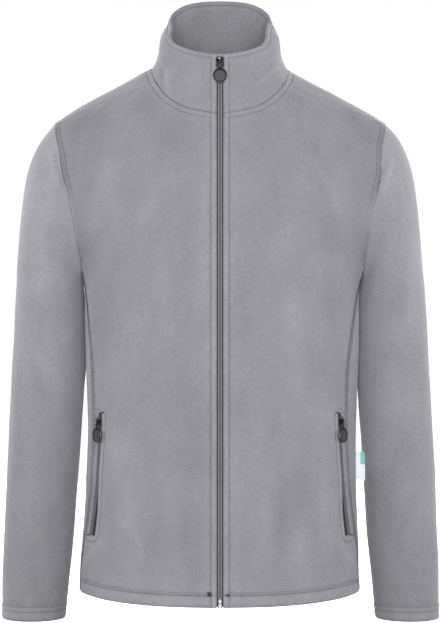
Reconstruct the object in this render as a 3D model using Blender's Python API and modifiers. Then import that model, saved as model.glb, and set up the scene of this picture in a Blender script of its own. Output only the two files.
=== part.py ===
"""A men's fleece zip jacket, filled out and hollow, modelled panel by panel.

The front faces -Y, the wearer's left is +X and +Z is up. The origin is the middle of the neck at the
height where the shoulders meet the collar. Sizes are in millimetres, and add_mesh() scales them to metres.
"""

import math

import bmesh
import bpy
import numpy as np
from mathutils import Matrix, Vector

MM = 0.001

# ---------------------------------------------------------------- driving sizes
CLOTH = 2.0  # micro fleece
COLLAR_CLOTH = 3.4  # two layers of it
SEAM = 0.3  # between pieces that are sewn together
ZIP_GAP = 8.0  # between the two front edges
HEM_Z = -677.0
CUFF_Z = -714.0

# The body below the armholes, as rings. The side seam lies at seam_y, forward of the widest line.
# Each ring's z is its height at the side, and its front edge lies lower by the dip.
#  name        z       half    front  back   square seam_y  dip
BODY_RINGS = (
    ("hem", HEM_Z, 183.0, 135.0, 124.0, 2.4, -29.0, 5.5),
    ("turn-up", -638.0, 181.6, 133.0, 120.0, 2.4, -35.0, 4.5),
    ("pocket end", -605.0, 179.8, 131.5, 116.0, 2.4, -43.0, 3.5),
    ("hip", -560.0, 177.6, 130.0, 112.0, 2.4, -51.0, 2.5),
    ("waist", -500.0, 176.4, 129.0, 108.0, 2.4, -58.0, 1.5),
    ("pocket top", -440.0, 177.2, 130.0, 108.0, 2.4, -63.0, 1.0),
    ("midriff", -380.0, 179.2, 132.0, 112.0, 2.4, -64.0, 0.5),
    ("ribs", -330.0, 180.7, 134.0, 117.5, 2.45, -57.0, 0.0),
    ("underarm", -284.0, 180.2, 134.0, 121.5, 2.6, -31.0, 0.0),
)

# The armhole: a slanting loop. Its angle is 0 at the shoulder tip and 180 at the underarm,
# and positive in front.
TIP_X, TIP_Z = 216.0, -66.5
UNDERARM_X, UNDERARM_Z = 180.6, -268.0
ARMHOLE_FRONT, ARMHOLE_BACK = 66.0, 70.0
ARMHOLE_ROUND = 7.0  # how far its lower front and back curve in towards the middle
ARMHOLE_SLANT = 1.3  # above 1, its upper part stays out near the tip
SIDE_SEAM_ANGLE = 155.0  # where the side seam meets the armhole
ARMHOLE_SEAM, UNDERARM_SEAM = 0.42, 0.9  # wider below, where the two walls turn down side by side

# The neck seam: an oval, its angle 0 at the zip and 180 at the middle of the back.
NECK_HALF, NECK_FRONT, NECK_BACK = 90.0, -88.0, 58.0

# Rows above the rings, from the front edge or the neck seam to the armhole. The handles, out and in,
# are shares of the row. turn is the heading at the armhole, towards the side, and the slopes are heights
# lost for each unit outwards.
#  name              neck   y       z       armhole  out    in     turn   slope_out slope_in
YOKE_FRONT = (
    ("chest", None, -131.0, -205.0, 119.0, 0.38, 0.30, 50.0, 0.00, 0.00),
    ("upper chest", None, -117.0, -134.0, 96.0, 0.36, 0.30, 32.0, 0.10, 0.10),
    ("neck corner", 2.5, None, -60.5, 74.0, 0.34, 0.30, 20.0, 0.30, 0.30),
    ("neck side", 34.0, None, -49.5, 50.0, 0.34, 0.30, 12.0, 0.45, 0.50),
)
YOKE_BACK = (
    ("shoulder seam", 66.0, None, -19.0, 26.0, 0.34, 0.32, 5.0, 0.52, 0.64),
    ("shoulder top", 92.0, None, 2.5, 0.0, 0.34, 0.32, 0.0, 0.58, 0.78),
    ("back shoulder", 124.0, None, 12.0, -34.0, 0.34, 0.32, 10.0, 0.62, 0.62),
    ("back neck side", 152.0, None, 19.5, -56.0, 0.34, 0.30, 18.0, 0.36, 0.45),
    ("back neck corner", 180.0, None, 24.0, -76.0, 0.36, 0.30, 25.0, 0.20, 0.35),
    ("upper back", None, 105.0, -68.0, -99.0, 0.36, 0.30, 34.0, 0.05, 0.15),
    ("shoulder blade", None, 122.0, -133.0, -124.0, 0.38, 0.32, 48.0, 0.00, 0.05),
    ("low blade", None, 127.0, -184.0, -152.0, 0.42, 0.36, 66.0, 0.00, 0.00),
    ("back underarm", None, 126.0, -226.0, -180.0, 0.46, 0.42, 84.0, 0.00, 0.00),
)

# Where the rows turn a corner, and how much of their length, from that end, the corner takes.
NECK_CORNER, UNDERARM_CORNER, BACK_CORNER = 0.6, 0.3, 0.25
# From which share of its length the underarm row bends to the armhole's corner.
SETTLE_FRONT, SETTLE_BACK = 0.6, 0.8

# The sleeve below the armhole: each section runs from an outer to an inner point, with its middle at y.
#  name         outer_x outer_z  inner_x  inner_z    y     front  back
SLEEVE_SECTIONS = (
    ("cap top", 227.0, -74.0, 182.2, -273.0, 0.0, 67.0, 71.0),
    ("cap", 244.2, -96.0, 183.2, -279.0, 1.0, 69.0, 72.0),
    ("cap low", 256.6, -134.0, 183.6, -286.0, 3.0, 70.5, 72.0),
    ("biceps", 262.8, -190.0, 183.2, -295.0, 5.0, 70.0, 71.0),
    ("upper arm", 268.3, -255.0, 182.8, -312.0, 8.0, 67.0, 67.0),
    ("above elbow", 273.0, -325.0, 182.6, -345.0, 9.0, 62.0, 62.0),
    ("elbow", 277.3, -395.0, 182.2, -400.0, 6.0, 57.0, 57.0),
    ("below elbow", 280.7, -455.0, 184.0, -455.0, 2.0, 53.5, 54.0),
    ("forearm", 284.0, -530.0, 189.4, -530.0, -3.0, 49.0, 50.0),
    ("low forearm", 287.0, -605.0, 195.2, -605.0, -8.0, 45.0, 45.0),
    ("wrist", 288.4, -665.0, 200.8, -665.0, -11.0, 42.0, 42.0),
    ("cuff", 288.3, CUFF_Z, 205.8, CUFF_Z, -13.0, 40.5, 40.5),
)

# The collar above the neck seam: z = a + b cos, and the squareness of its front and back halves.
#  name    half   front   back   a      b      square_front square_back
COLLAR_SECTIONS = (
    ("low", 81.5, -86.0, 59.0, 19.0, -44.0, 1.9, 2.2),
    ("middle", 78.4, -82.5, 61.5, 40.0, -45.0, 1.8, 2.5),
    ("top", 75.4, -77.5, 66.0, 62.0, -45.5, 1.75, 2.9),
)

# Soft folds: a ridge (or, below zero, a trough) along a straight line seen from the front.
FOLD_FADE = 0.15  # how far, as a share of its length, a fold runs on past each end
#  panel          x0      z0      x1      z1     width  height
FOLDS = (
    ("front_right", -84.0, -480.0, -82.0, -655.0, 13.0, -3.5),
    ("front_right", -58.0, -500.0, -54.0, -640.0, 16.0, 2.0),
    ("front_right", -120.0, -470.0, -124.0, -590.0, 18.0, 2.5),
    ("front_right", -172.0, -640.0, -138.0, -596.0, 7.0, 2.0),
    ("front_left", 76.0, -500.0, 72.0, -655.0, 12.0, -3.0),
    ("front_left", 104.0, -430.0, 112.0, -590.0, 16.0, -2.5),
    ("front_left", 134.0, -470.0, 140.0, -590.0, 16.0, 2.5),
    ("front_left", 172.0, -640.0, 138.0, -596.0, 7.0, 2.0),
    ("sleeve_right", -226.0, -330.0, -234.0, -450.0, 13.0, -2.2),
    ("sleeve_right", -250.0, -200.0, -262.0, -320.0, 15.0, 2.0),
    ("sleeve_left", 220.0, -300.0, 234.0, -430.0, 13.0, -2.2),
    ("sleeve_left", 250.0, -420.0, 256.0, -540.0, 14.0, 2.0),
    ("collar", -76.0, 24.0, -66.0, -20.0, 6.0, 2.5),
    ("collar", 80.0, 22.0, 44.0, -14.0, 7.0, 2.5),
    ("collar", 70.0, 2.0, 56.0, -30.0, 7.0, -2.0),
)

# How finely the walls are divided.
HEM_ROWS, SLOT_ROWS, RIB_ROWS, CHEST_ROWS = 3, 5, 6, 4
NECK_FRONT_ROWS, NECK_BACK_ROWS, BACK_ROWS = 5, 8, 6
FRONT_COLUMNS, SLEEVE_ROWS, COLLAR_ROWS = 11, 17, 5
ROW_SAMPLES = 129
MATCHED_BEYOND = 60.0  # how far behind the shoulder seam the back's columns still follow the front's
SLEEVE_SPREAD = 1.15  # above 1, a sleeve's rows lie closer near the armhole

# The pocket slot, measured from the side seam.
SLOT_NEAR, SLOT_FAR = 14.5, 21.5
SLOT_TOP_Z, SLOT_END_Z = -443.0, -600.5

# Zips. Depths are measured in from the cloth's outer face.
TAPE = 0.8
TAPE_INNER, TAPE_OUTER = 0.4, 15.0  # x of the front tape's edges
TAPE_NARROW = 3.6  # x of its outer edge inside the collar's gap
TAPE_DEPTH = 2.6
CHAIN_HALF, CHAIN_TOP, CHAIN_BOTTOM = 2.8, 0.4, 2.25
SLOT_TAPE_NEAR, SLOT_TAPE_FAR, SLOT_TAPE_PAST = 9.0, 27.0, 6.0
BOX_WIDE, BOX_TALL, BOX_RISE = 6.8, 11.0, 0.8  # the pin and box at the hem

# Sliders, in their own frame: x across the zip, -y out of the cloth, z up the zip.
SLIDER_WIDE, SLIDER_LONG, SLIDER_PLATE, SLIDER_CORNER = 10.6, 14.0, 1.8, 3.0
STEM_WIDE, STEM_LONG = 5.6, 13.0
BRIDGE_WIDE, BRIDGE_LOW, BRIDGE_HIGH, BRIDGE_TALL, BRIDGE_BAR = 2.4, -4.3, 3.3, 4.2, 1.2
FRONT_SLIDER_Z, POCKET_SLIDER_DOWN = 5.0, 10.0
SLIDER_SCALE_POCKET = 0.9

# Pulls, in their own frame: the origin on the pin, and the tab hanging down -z.
PIN_PLACE_Y, PIN_PLACE_Z, PIN_RADIUS = -1.6, -2.15, 0.65  # from the plate's face and the slider's middle
ARM_INNER, ARM_WIDE, ARM_THICK, ARM_LONG = 1.7, 1.5, 1.2, 8.0
TAB_RADIUS, TAB_RIM, TAB_THICK, TAB_RIM_THICK, TAB_DROP = 9.5, 1.5, 1.2, 2.0, 15.5
PULL_LEAN = 7.5  # degrees that a pull can lean back before it rests on the cloth

LABEL_TOP_Z, LABEL_TALL, LABEL_OUT, LABEL_THICK = -497.0, 37.0, 12.3, 0.9
LABEL_Y, LABEL_FORWARD = -4.0, 14.0  # where it is sewn, and how far its free edge leans forward

FLEECE = ("fleece", (0.32, 0.315, 0.34), 0.95, 0.0)
TAPE_COLOUR = ("zip tape", (0.14, 0.14, 0.155), 0.85, 0.0)
CHAIN_COLOUR = ("zip coil", (0.10, 0.10, 0.11), 0.5, 0.0)
GUNMETAL = ("gunmetal", (0.10, 0.10, 0.11), 0.3, 1.0)
STEEL = ("steel", (0.55, 0.55, 0.57), 0.3, 1.0)
LABEL_COLOUR = ("woven label", (0.85, 0.88, 0.88), 0.8, 0.0)


# ---------------------------------------------------------------- curves
def unit(v):
    return v / np.maximum(np.linalg.norm(v, axis=-1, keepdims=True), 1e-12)


def smooth(x):
    x = np.clip(x, 0.0, 1.0)
    return x * x * (3 - 2 * x)


def signed_power(x, power):
    return np.sign(x) * np.abs(x) ** power


def evenly(points, count=ROW_SAMPLES):
    """The same curve with its points at equal distances along it."""
    along = np.concatenate([[0], np.cumsum(np.linalg.norm(np.diff(points, axis=0), axis=1))])
    want = np.linspace(0, along[-1], count)
    return np.stack([np.interp(want, along, points[:, k]) for k in range(3)], axis=1)


def armhole(angle):
    """A point of the armhole seam on the wearer's left."""
    a = math.radians(angle)
    down = (1 - math.cos(a)) / 2
    depth = ARMHOLE_FRONT if math.sin(a) > 0 else ARMHOLE_BACK
    x = TIP_X - (TIP_X - UNDERARM_X) * math.sin(math.pi / 2 * down) ** ARMHOLE_SLANT
    x -= ARMHOLE_ROUND * math.sin(a) ** 2 * down**4
    return np.array([x, -depth * math.sin(a), TIP_Z - (TIP_Z - UNDERARM_Z) * down])


def neck(angle, z):
    """A point of the neck seam on the wearer's left, at height z."""
    c, s = math.cos(math.radians(angle)), math.sin(math.radians(angle))
    middle, reach = (NECK_FRONT + NECK_BACK) / 2, (NECK_BACK - NECK_FRONT) / 2
    return np.array([NECK_HALF * s, middle - reach * c, z])


def ring_row(ring, front):
    """The left half of a body ring, from the front edge or the middle of the back to the side seam."""
    _, z, half, front_y, back_y, square, seam_y, dip = ring
    reach = front_y if front else back_y
    theta = np.linspace(0, math.pi / 2, 400)
    x = half * np.sin(theta) ** (2 / square)
    y = (-1 if front else 1) * reach * np.cos(theta) ** (2 / square)
    if front:
        keep = (x >= ZIP_GAP / 2) & (y <= seam_y)
        x, y = x[keep], y[keep]
    else:
        round_y = -front_y * np.cos(theta[::-1]) ** (2 / square)
        keep = round_y > seam_y
        x = np.concatenate([x, half * np.sin(theta[::-1][keep]) ** (2 / square)])
        y = np.concatenate([y, round_y[keep]])
    first_x = ZIP_GAP / 2 if front else 0.0
    end_x = half * (1 - (abs(seam_y) / front_y) ** square) ** (1 / square)
    x = np.concatenate([[first_x], x[1:-1], [end_x]])
    y = np.concatenate([[y[0]], y[1:-1], [seam_y]])
    forward = np.clip((seam_y - y) / (seam_y + front_y), 0, 1)
    return evenly(np.stack([x, y, z - dip * forward**2], axis=1))


def yoke_row(row, front):
    """A row from the front edge, the middle of the back or the neck seam out to the armhole."""
    _, neck_angle, y, z, armhole_angle, share_out, share_in, turn, slope_out, slope_in = row
    if neck_angle is not None:
        start = neck(neck_angle, z)
    else:
        start = np.array([ZIP_GAP / 2 if front else 0.0, y, z])
    end = armhole(armhole_angle)
    reach = np.linalg.norm(end - start)
    heading = math.radians(turn) * (1 if front else -1)
    leave = start + share_out * reach * np.array([1.0, 0.0, -slope_out])
    arrive = end - share_in * reach * np.array([math.cos(heading), math.sin(heading), -slope_in])
    t = np.linspace(0, 1, 200)[:, None]
    curve = (1 - t) ** 3 * start + 3 * (1 - t) ** 2 * t * leave
    return evenly(curve + 3 * (1 - t) * t**2 * arrive + t**3 * end)


class Rows:
    """A smooth surface through rows of points: u runs along a row and t from row to row."""

    def __init__(self, rows, corner_in=(), corner_out=()):
        self.rows = np.array(rows)
        step = np.linalg.norm(np.diff(self.rows, axis=0), axis=2)
        self.t = np.concatenate([[0], np.cumsum(step.mean(axis=1))])
        before = np.diff(self.rows, axis=0) / np.diff(self.t)[:, None, None]
        middle = np.gradient(self.rows, self.t, axis=0)
        self.enter, self.leave = middle.copy(), middle.copy()
        u = np.linspace(0, 1, self.rows.shape[1])[:, None]
        for row, reach in corner_in:
            self.bend(row, before, smooth((reach - u) / reach))
        for row, reach in corner_out:
            self.bend(row, before, smooth((reach - 1 + u) / reach))

    def bend(self, row, before, share):
        """Lets the rows turn a corner here, at the end where share is 1."""
        self.enter[row] += share * (before[row - 1] - self.enter[row])
        self.leave[row] += share * (before[row] - self.leave[row])

    def at(self, u, t):
        t = np.clip(t, self.t[0], self.t[-1])
        i = np.clip(np.searchsorted(self.t, t, side="right") - 1, 0, len(self.t) - 2)
        h = (self.t[i + 1] - self.t[i])[..., None]
        f = (t - self.t[i])[..., None] / h
        a, b = self.along(self.rows, i, u), self.along(self.rows, i + 1, u)
        da, db = self.along(self.leave, i, u), self.along(self.enter, i + 1, u)
        start = (1 + 2 * f) * (1 - f) ** 2 * a + f * (1 - f) ** 2 * h * da
        return start + f * f * (3 - 2 * f) * b + f * f * (f - 1) * h * db

    def along(self, table, row, u):
        place = np.clip(u, 0, 1) * (table.shape[1] - 1)
        k = np.clip(place.astype(int), 0, table.shape[1] - 2)
        share = (place - k)[..., None]
        return table[row, k] * (1 - share) + table[row, k + 1] * share

    def normal(self, u, t):
        du, dt = 0.008, 1.0
        across = self.at(np.minimum(u + du, 1), t) - self.at(np.maximum(u - du, 0), t)
        along = self.at(u, np.minimum(t + dt, self.t[-1])) - self.at(u, np.maximum(t - dt, 0))
        return unit(np.cross(across, along))

    def pace(self, u, t):
        """How far a point moves for each unit of t."""
        dt = 0.5
        step = self.at(u, np.minimum(t + dt, self.t[-1])) - self.at(u, np.maximum(t - dt, 0))
        return np.linalg.norm(step, axis=-1) / (2 * dt)

    def length(self, t):
        """How long a row is at t."""
        u = np.linspace(0, 1, 33)[None, :] + 0 * t[:, None]
        points = self.at(u, t[:, None] + 0 * u)
        return np.linalg.norm(np.diff(points, axis=1), axis=2).sum(axis=1)


def body_surface():
    """The left half of the body, from the front hem over the shoulder to the back hem."""
    rows = [ring_row(ring, True) for ring in BODY_RINGS[:-1]]
    underarm = len(rows)
    corner = armhole(SIDE_SEAM_ANGLE)
    rows.append(settle(ring_row(BODY_RINGS[-1], True), corner, SETTLE_FRONT))
    rows += [yoke_row(row, True) for row in YOKE_FRONT]
    seam = len(rows)
    rows += [yoke_row(row, False) for row in YOKE_BACK]
    back_underarm = len(rows)
    rows.append(settle(ring_row(BODY_RINGS[-1], False), corner, SETTLE_BACK))
    rows += [ring_row(ring, False) for ring in BODY_RINGS[-2::-1]]
    neck_front = underarm + 1 + [row[0] for row in YOKE_FRONT].index("neck corner")
    neck_back = seam + [row[0] for row in YOKE_BACK].index("back neck corner")
    at_neck = ((neck_front, NECK_CORNER), (neck_back, NECK_CORNER))
    at_side = ((underarm, UNDERARM_CORNER), (back_underarm, BACK_CORNER))
    surface = Rows(rows, at_neck, at_side)
    marks = (underarm, neck_front, seam, neck_back, back_underarm)
    return surface, [surface.t[k] for k in marks]


def settle(row, corner, start):
    """Bends the underarm row beyond start up to the corner where the side seam meets the armhole."""
    share = smooth((np.linspace(0, 1, len(row)) - start) / (1 - start))[:, None]
    return row + share * (corner - row[-1])


BODY, (T_UNDERARM, T_NECK_FRONT, T_SHOULDER_SEAM, T_NECK_BACK, T_BACK_UNDERARM) = body_surface()


def armhole_angle(t):
    """The armhole's angle at a height t of the body's outer edge."""
    first = int(np.searchsorted(BODY.t, T_UNDERARM))
    angles = [SIDE_SEAM_ANGLE, *(row[4] for row in YOKE_FRONT + YOKE_BACK), SIDE_SEAM_ANGLE - 360]
    return np.interp(t, BODY.t[first : first + len(angles)], angles)


def neck_angle(t):
    """The neck's angle at a height t of the body's inner edge."""
    first = int(np.searchsorted(BODY.t, T_NECK_FRONT))
    angles = [row[1] for row in YOKE_FRONT + YOKE_BACK if row[1] is not None]
    return np.interp(t, BODY.t[first : first + len(angles)], angles)


# ---------------------------------------------------------------- meshes
def material(kind):
    name, colour, roughness, metallic = kind
    found = bpy.data.materials.get(name)
    if found:
        return found
    made = bpy.data.materials.new(name)
    made.use_nodes = True
    shader = made.node_tree.nodes["Principled BSDF"]
    shader.inputs["Base Color"].default_value = (*colour, 1.0)
    shader.inputs["Roughness"].default_value = roughness
    shader.inputs["Metallic"].default_value = metallic
    return made


def add_mesh(name, points, faces, kind):
    mesh = bpy.data.meshes.new(name)
    mesh.from_pydata([tuple(p) for p in np.asarray(points) * MM], [], faces)
    mesh.validate()
    mesh.shade_smooth()
    mesh.set_sharp_from_angle(angle=math.radians(40))
    mesh.materials.append(material(kind))
    made = bpy.data.objects.new(name, mesh)
    JACKET.objects.link(made)
    return made


def wall(name, outer, inner, kind, closed=False, holes=()):
    """A closed wall between two grids of points. Edges in the plane x = 0 stay open for a Mirror."""
    rows, columns = outer.shape[:2]
    around = columns if closed else columns - 1
    faces = []
    for i in range(rows - 1):
        for j in range(around):
            if (i, j) not in holes:
                k = (j + 1) % columns
                faces.append((i * columns + j, i * columns + k, (i + 1) * columns + k, (i + 1) * columns + j))
    points = np.concatenate([outer.reshape(-1, 3), inner.reshape(-1, 3)])
    half = rows * columns
    a, b, c, d = faces[len(faces) // 2]
    facing = np.cross(points[c] - points[a], points[d] - points[b])
    if facing @ (points[a] - points[a + half]) < 0:
        faces = [face[::-1] for face in faces]
    count = {}
    for face in faces:
        for p, q in zip(face, face[1:] + face[:1]):
            count[(p, q)] = count.get((p, q), 0) + 1
    rim = []
    for p, q in count:
        in_plane = abs(points[p][0]) < 1e-6 and abs(points[q][0]) < 1e-6
        if (q, p) not in count and not in_plane:
            rim.append((q, p, p + half, q + half))
    inside = [tuple(v + half for v in face[::-1]) for face in faces]
    used = sorted({v for face in faces + inside for v in face})
    place = {v: k for k, v in enumerate(used)}
    every = [tuple(place[v] for v in face) for face in faces + inside + rim]
    return add_mesh(name, points[used], every, kind)


def offset(points, normals, out):
    return points + out * normals


def flipped(points):
    """The same points on the wearer's other side."""
    return points * np.array([-1.0, 1.0, 1.0])


def folded(name, points, normals):
    """Moves points in or out by the soft folds of their panel."""
    out = np.zeros(points.shape[:-1])
    for panel, x0, z0, x1, z1, width, height in FOLDS:
        if panel != name:
            continue
        along = np.array([x1 - x0, z1 - z0])
        length = np.linalg.norm(along)
        along /= length
        x, z = points[..., 0] - x0, points[..., 2] - z0
        reach = (x * along[0] + z * along[1]) / length
        aside = (x * -along[1] + z * along[0]) / width
        rise = 0.2 + FOLD_FADE
        ends = smooth((reach + FOLD_FADE) / rise) * smooth((1 + FOLD_FADE - reach) / rise)
        front = points[..., 1] < 0
        out += height * np.exp(-aside * aside) * ends * front
    return points + out[..., None] * normals


def rows_between(*stops):
    """Values through pairs of (stop, count of cells to the next one)."""
    values = [stops[0][0]]
    for (start, cells), (end, _) in zip(stops, stops[1:]):
        values += list(np.linspace(start, end, cells + 1)[1:])
    return np.array(values)


# ---------------------------------------------------------------- body panels
INSET = SEAM / 2


def ring_heights():
    """Heights of the grid's rows below the armhole, with one at each end of the pocket slot."""
    top = BODY_RINGS[-1][1]
    return rows_between((HEM_Z, HEM_ROWS), (SLOT_END_Z, SLOT_ROWS), (SLOT_TOP_Z, RIB_ROWS), (top, 0))


def ring_t(z, front=True):
    """The body's t at a height below the armhole."""
    t = BODY.t if front else BODY.t[::-1]
    return np.interp(z, [ring[1] for ring in BODY_RINGS], t[: len(BODY_RINGS)])


def front_t():
    upper = rows_between((T_UNDERARM, CHEST_ROWS), (T_NECK_FRONT, NECK_FRONT_ROWS), (T_SHOULDER_SEAM, 0))
    return np.concatenate([ring_t(ring_heights()), upper[1:]])


def back_t():
    upper = rows_between((T_SHOULDER_SEAM, NECK_BACK_ROWS), (T_NECK_BACK, BACK_ROWS), (T_BACK_UNDERARM, 0))
    return np.concatenate([upper, ring_t(ring_heights()[-2::-1], front=False)])


def front_columns(t):
    """Shares of a row: even ones, then the slot's two edges and the seam."""
    long = BODY.length(t)[:, None]
    inner = np.linspace(0, 1, FRONT_COLUMNS + 1)[None, :-1]
    first = inner * (long - SLOT_FAR) / long
    last = 1 - np.array([[SLOT_FAR, SLOT_NEAR, INSET]]) / long
    return np.concatenate([first, last], axis=1)


class Front:
    """The grid of a front panel's outer points, and places on its flat cells for what is sewn to it."""

    def __init__(self, name, side):
        self.t = front_t()
        self.u = front_columns(self.t)
        in_neck = self.t > T_NECK_FRONT - 1e-6
        self.u[in_neck, 0] = INSET / BODY.length(self.t)[in_neck]
        t = np.repeat(self.t[:, None], self.u.shape[1], axis=1)
        t[-1] -= INSET / BODY.pace(self.u[-1], t[-1])
        points, self.normals = BODY.at(self.u, t), BODY.normal(self.u, t)
        if side < 0:
            points, self.normals = flipped(points), flipped(self.normals)
        self.points = folded(name, points, self.normals)

    def at(self, u, t):
        """Points and normals: a row of shares u for each t."""
        row = np.interp(t, self.t, np.arange(len(self.t)))
        i = np.minimum(row.astype(int), len(self.t) - 2)
        down = (row - i)[:, None]
        stops = self.u[i] * (1 - down) + self.u[i + 1] * down
        column = np.array([np.interp(a, b, np.arange(len(b))) for a, b in zip(u, stops)])
        j = np.minimum(column.astype(int), self.u.shape[1] - 2)
        across, down, i = (column - j)[..., None], down[..., None], i[:, None]
        places = []
        for table in (self.points, self.normals):
            here = table[i, j] * (1 - across) + table[i, j + 1] * across
            above = table[i + 1, j] * (1 - across) + table[i + 1, j + 1] * across
            places.append(here * (1 - down) + above * down)
        return places[0], unit(places[1])

    def beside_seam(self, distances, z):
        """Points and normals at distances from the side seam, a row for each height z."""
        t = ring_t(np.asarray(z, float))
        return self.at(1 - np.array(distances)[None, :] / BODY.length(t)[:, None], t)


def make_front(name, panel):
    slot_column = panel.u.shape[1] - 3
    ends = [int(np.argmin(abs(panel.t - ring_t(z)))) for z in (SLOT_END_Z, SLOT_TOP_Z)]
    holes = {(i, slot_column) for i in range(ends[0], ends[1])}
    inner = offset(panel.points, panel.normals, -CLOTH)
    return wall(name, panel.points, inner, FLEECE, holes=holes)


def make_back():
    t = back_t()
    long = BODY.length(t)[:, None]
    matched = front_columns(t)
    even = np.linspace(0, 1, matched.shape[1])[None, :] * (1 - INSET / long)
    away = smooth((t - T_SHOULDER_SEAM) / MATCHED_BEYOND)[:, None]
    u = matched + away * (even - matched)
    in_neck = t < T_NECK_BACK - 1e-6
    u[in_neck, 0] = (INSET / long[:, 0])[in_neck]
    t = np.repeat(t[:, None], u.shape[1], axis=1)
    t[0] += INSET / BODY.pace(u[0], t[0])
    points, normals = BODY.at(u, t), BODY.normal(u, t)
    middle = ~in_neck
    points[middle, 0, 0] = 0.0
    normals[middle, 0, 0] = 0.0
    normals[middle, 0] = unit(normals[middle, 0])
    made = wall("back", points, offset(points, normals, -CLOTH), FLEECE)
    mirror = made.modifiers.new("both halves", "MIRROR")
    mirror.merge_threshold = 0.0001
    return made


# ---------------------------------------------------------------- sleeves
def armhole_edge():
    """t values of the body rows that end on the armhole, once around from the side seam."""
    front = front_t()
    back = back_t()
    front = front[front >= T_UNDERARM - 1e-6]
    back = back[back <= T_BACK_UNDERARM + 1e-6]
    return np.concatenate([front, back[1:-1]])


def sleeve_surface():
    """The left sleeve as rows from the armhole seam to the cuff, each once around and closed."""
    t = armhole_edge()
    edge = BODY.at(np.ones_like(t), t)
    out = BODY.normal(np.ones_like(t), t)
    angle = np.radians(armhole_angle(t))
    sections = []
    for _, outer_x, outer_z, inner_x, inner_z, y, front, back in SLEEVE_SECTIONS:
        middle = np.array([(outer_x + inner_x) / 2, y, (outer_z + inner_z) / 2])
        half = np.array([(outer_x - inner_x) / 2, 0.0, (outer_z - inner_z) / 2])
        depth = np.where(np.sin(angle) > 0, front, back)
        swing = np.stack([0 * angle, -depth * np.sin(angle), 0 * angle], axis=1)
        sections.append(middle + np.cos(angle)[:, None] * half + swing)
    leave = unit(sections[0] - edge)
    apart = ARMHOLE_SEAM + smooth(-np.cos(angle))[:, None] * (UNDERARM_SEAM - ARMHOLE_SEAM)
    start = edge + apart * unit(leave + out)
    rows = [start] + sections
    return Rows([np.concatenate([row, row[:1]]) for row in rows]), out


def make_sleeve(name, side):
    surface, body_out = sleeve_surface()
    columns = surface.rows.shape[1] - 1
    t = np.linspace(0, 1, SLEEVE_ROWS + 1) ** SLEEVE_SPREAD * surface.t[-1]
    u = np.repeat(np.arange(columns)[None, :] / columns, len(t), axis=0)
    t = np.repeat(t[:, None], columns, axis=1)
    points = surface.at(u, t)
    normals = surface_normals(points)
    alike = (normals[0] * body_out).sum(axis=1, keepdims=True)
    normals[0] = unit(normals[0] + smooth(2 * alike) * (body_out - normals[0]))
    if side < 0:
        points, normals = flipped(points), flipped(normals)
    points = folded(name, points, normals)
    return wall(name, points, offset(points, normals, -CLOTH), FLEECE, closed=True)


def surface_normals(points):
    """Outward normals of a tube given as rings of points."""
    across = np.roll(points, -1, axis=1) - np.roll(points, 1, axis=1)
    along = np.gradient(points, axis=0)
    normals = unit(np.cross(across, along))
    away = points - points.mean(axis=1, keepdims=True)
    if (normals * away).sum() < 0:
        normals = -normals
    return normals


# ---------------------------------------------------------------- collar
def collar_surface():
    """The left half of the collar as rows from the neck seam to the top edge."""
    front = front_t()
    back = back_t()
    front = front[front >= T_NECK_FRONT - 1e-6]
    back = back[back <= T_NECK_BACK + 1e-6]
    t = np.concatenate([front, back[1:]])
    edge = BODY.at(np.zeros_like(t), t)
    edge[:, 2] += SEAM
    angle = np.radians(neck_angle(t))
    rows = [edge]
    for _, half, front_y, back_y, a, b, square_front, square_back in COLLAR_SECTIONS:
        square = np.where(np.cos(angle) > 0, square_front, square_back)
        middle, reach = (front_y + back_y) / 2, (back_y - front_y) / 2
        x = half * np.sin(angle) ** (2 / square)
        y = middle - reach * signed_power(np.cos(angle), 2 / square)
        x[0], x[-1] = ZIP_GAP / 2, 0.0
        rows.append(np.stack([x, y, a + b * np.cos(angle)], axis=1))
    return Rows(rows)


def make_collar():
    surface = collar_surface()
    half = surface.rows.shape[1]
    t = np.linspace(0, surface.t[-1], COLLAR_ROWS + 1)
    u = np.repeat(np.linspace(0, 1, half)[None, :], len(t), axis=0)
    t = np.repeat(t[:, None], half, axis=1)
    points, normals = surface.at(u, t), surface.normal(u, t)
    normals[:, -1, 0] = 0.0
    normals[:, 0, 0] = 0.0
    normals = unit(normals)
    both = np.concatenate([flipped(points), points[:, -2::-1]], axis=1)
    both_normals = np.concatenate([flipped(normals), normals[:, -2::-1]], axis=1)
    both = folded("collar", both, both_normals)
    return wall("collar", both, offset(both, both_normals, -COLLAR_CLOTH), FLEECE)


# ---------------------------------------------------------------- zips
def front_edge(s):
    """Points and outward normals up the left front edge: s runs from the hem to the collar's top."""
    s = np.asarray(s, float)
    collar = COLLAR.at(np.zeros_like(s), np.maximum(s - T_NECK_FRONT, 0))
    collar_out = COLLAR.normal(np.zeros_like(s), np.maximum(s - T_NECK_FRONT, 0))
    body, body_out = BODY.at(np.zeros_like(s), s), BODY.normal(np.zeros_like(s), s)
    above = (s > T_NECK_FRONT)[:, None]
    points, normals = np.where(above, collar, body), np.where(above, collar_out, body_out)
    normals[:, 0] = 0.0
    return points, unit(normals)


def front_s(z):
    """How far up the front edge a height lies."""
    s = np.linspace(0, T_NECK_FRONT + COLLAR.t[-1], 600)
    return float(np.interp(z, front_edge(s)[0][:, 2], s))


def front_rows(bottom, top):
    """The rows that the front edge and the collar have between two places, with both ends."""
    body, collar = front_t(), np.linspace(0, COLLAR.t[-1], COLLAR_ROWS + 1) + T_NECK_FRONT
    rows = np.concatenate([body[body < T_NECK_FRONT - 1], collar[1:]])
    rows = rows[(rows > bottom + 2) & (rows < top - 2)]
    return np.concatenate([[bottom], rows, [top]])


def strip(name, points, normals, depth, thick, kind):
    return wall(name, offset(points, normals, -depth), offset(points, normals, -depth - thick), kind)


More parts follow.
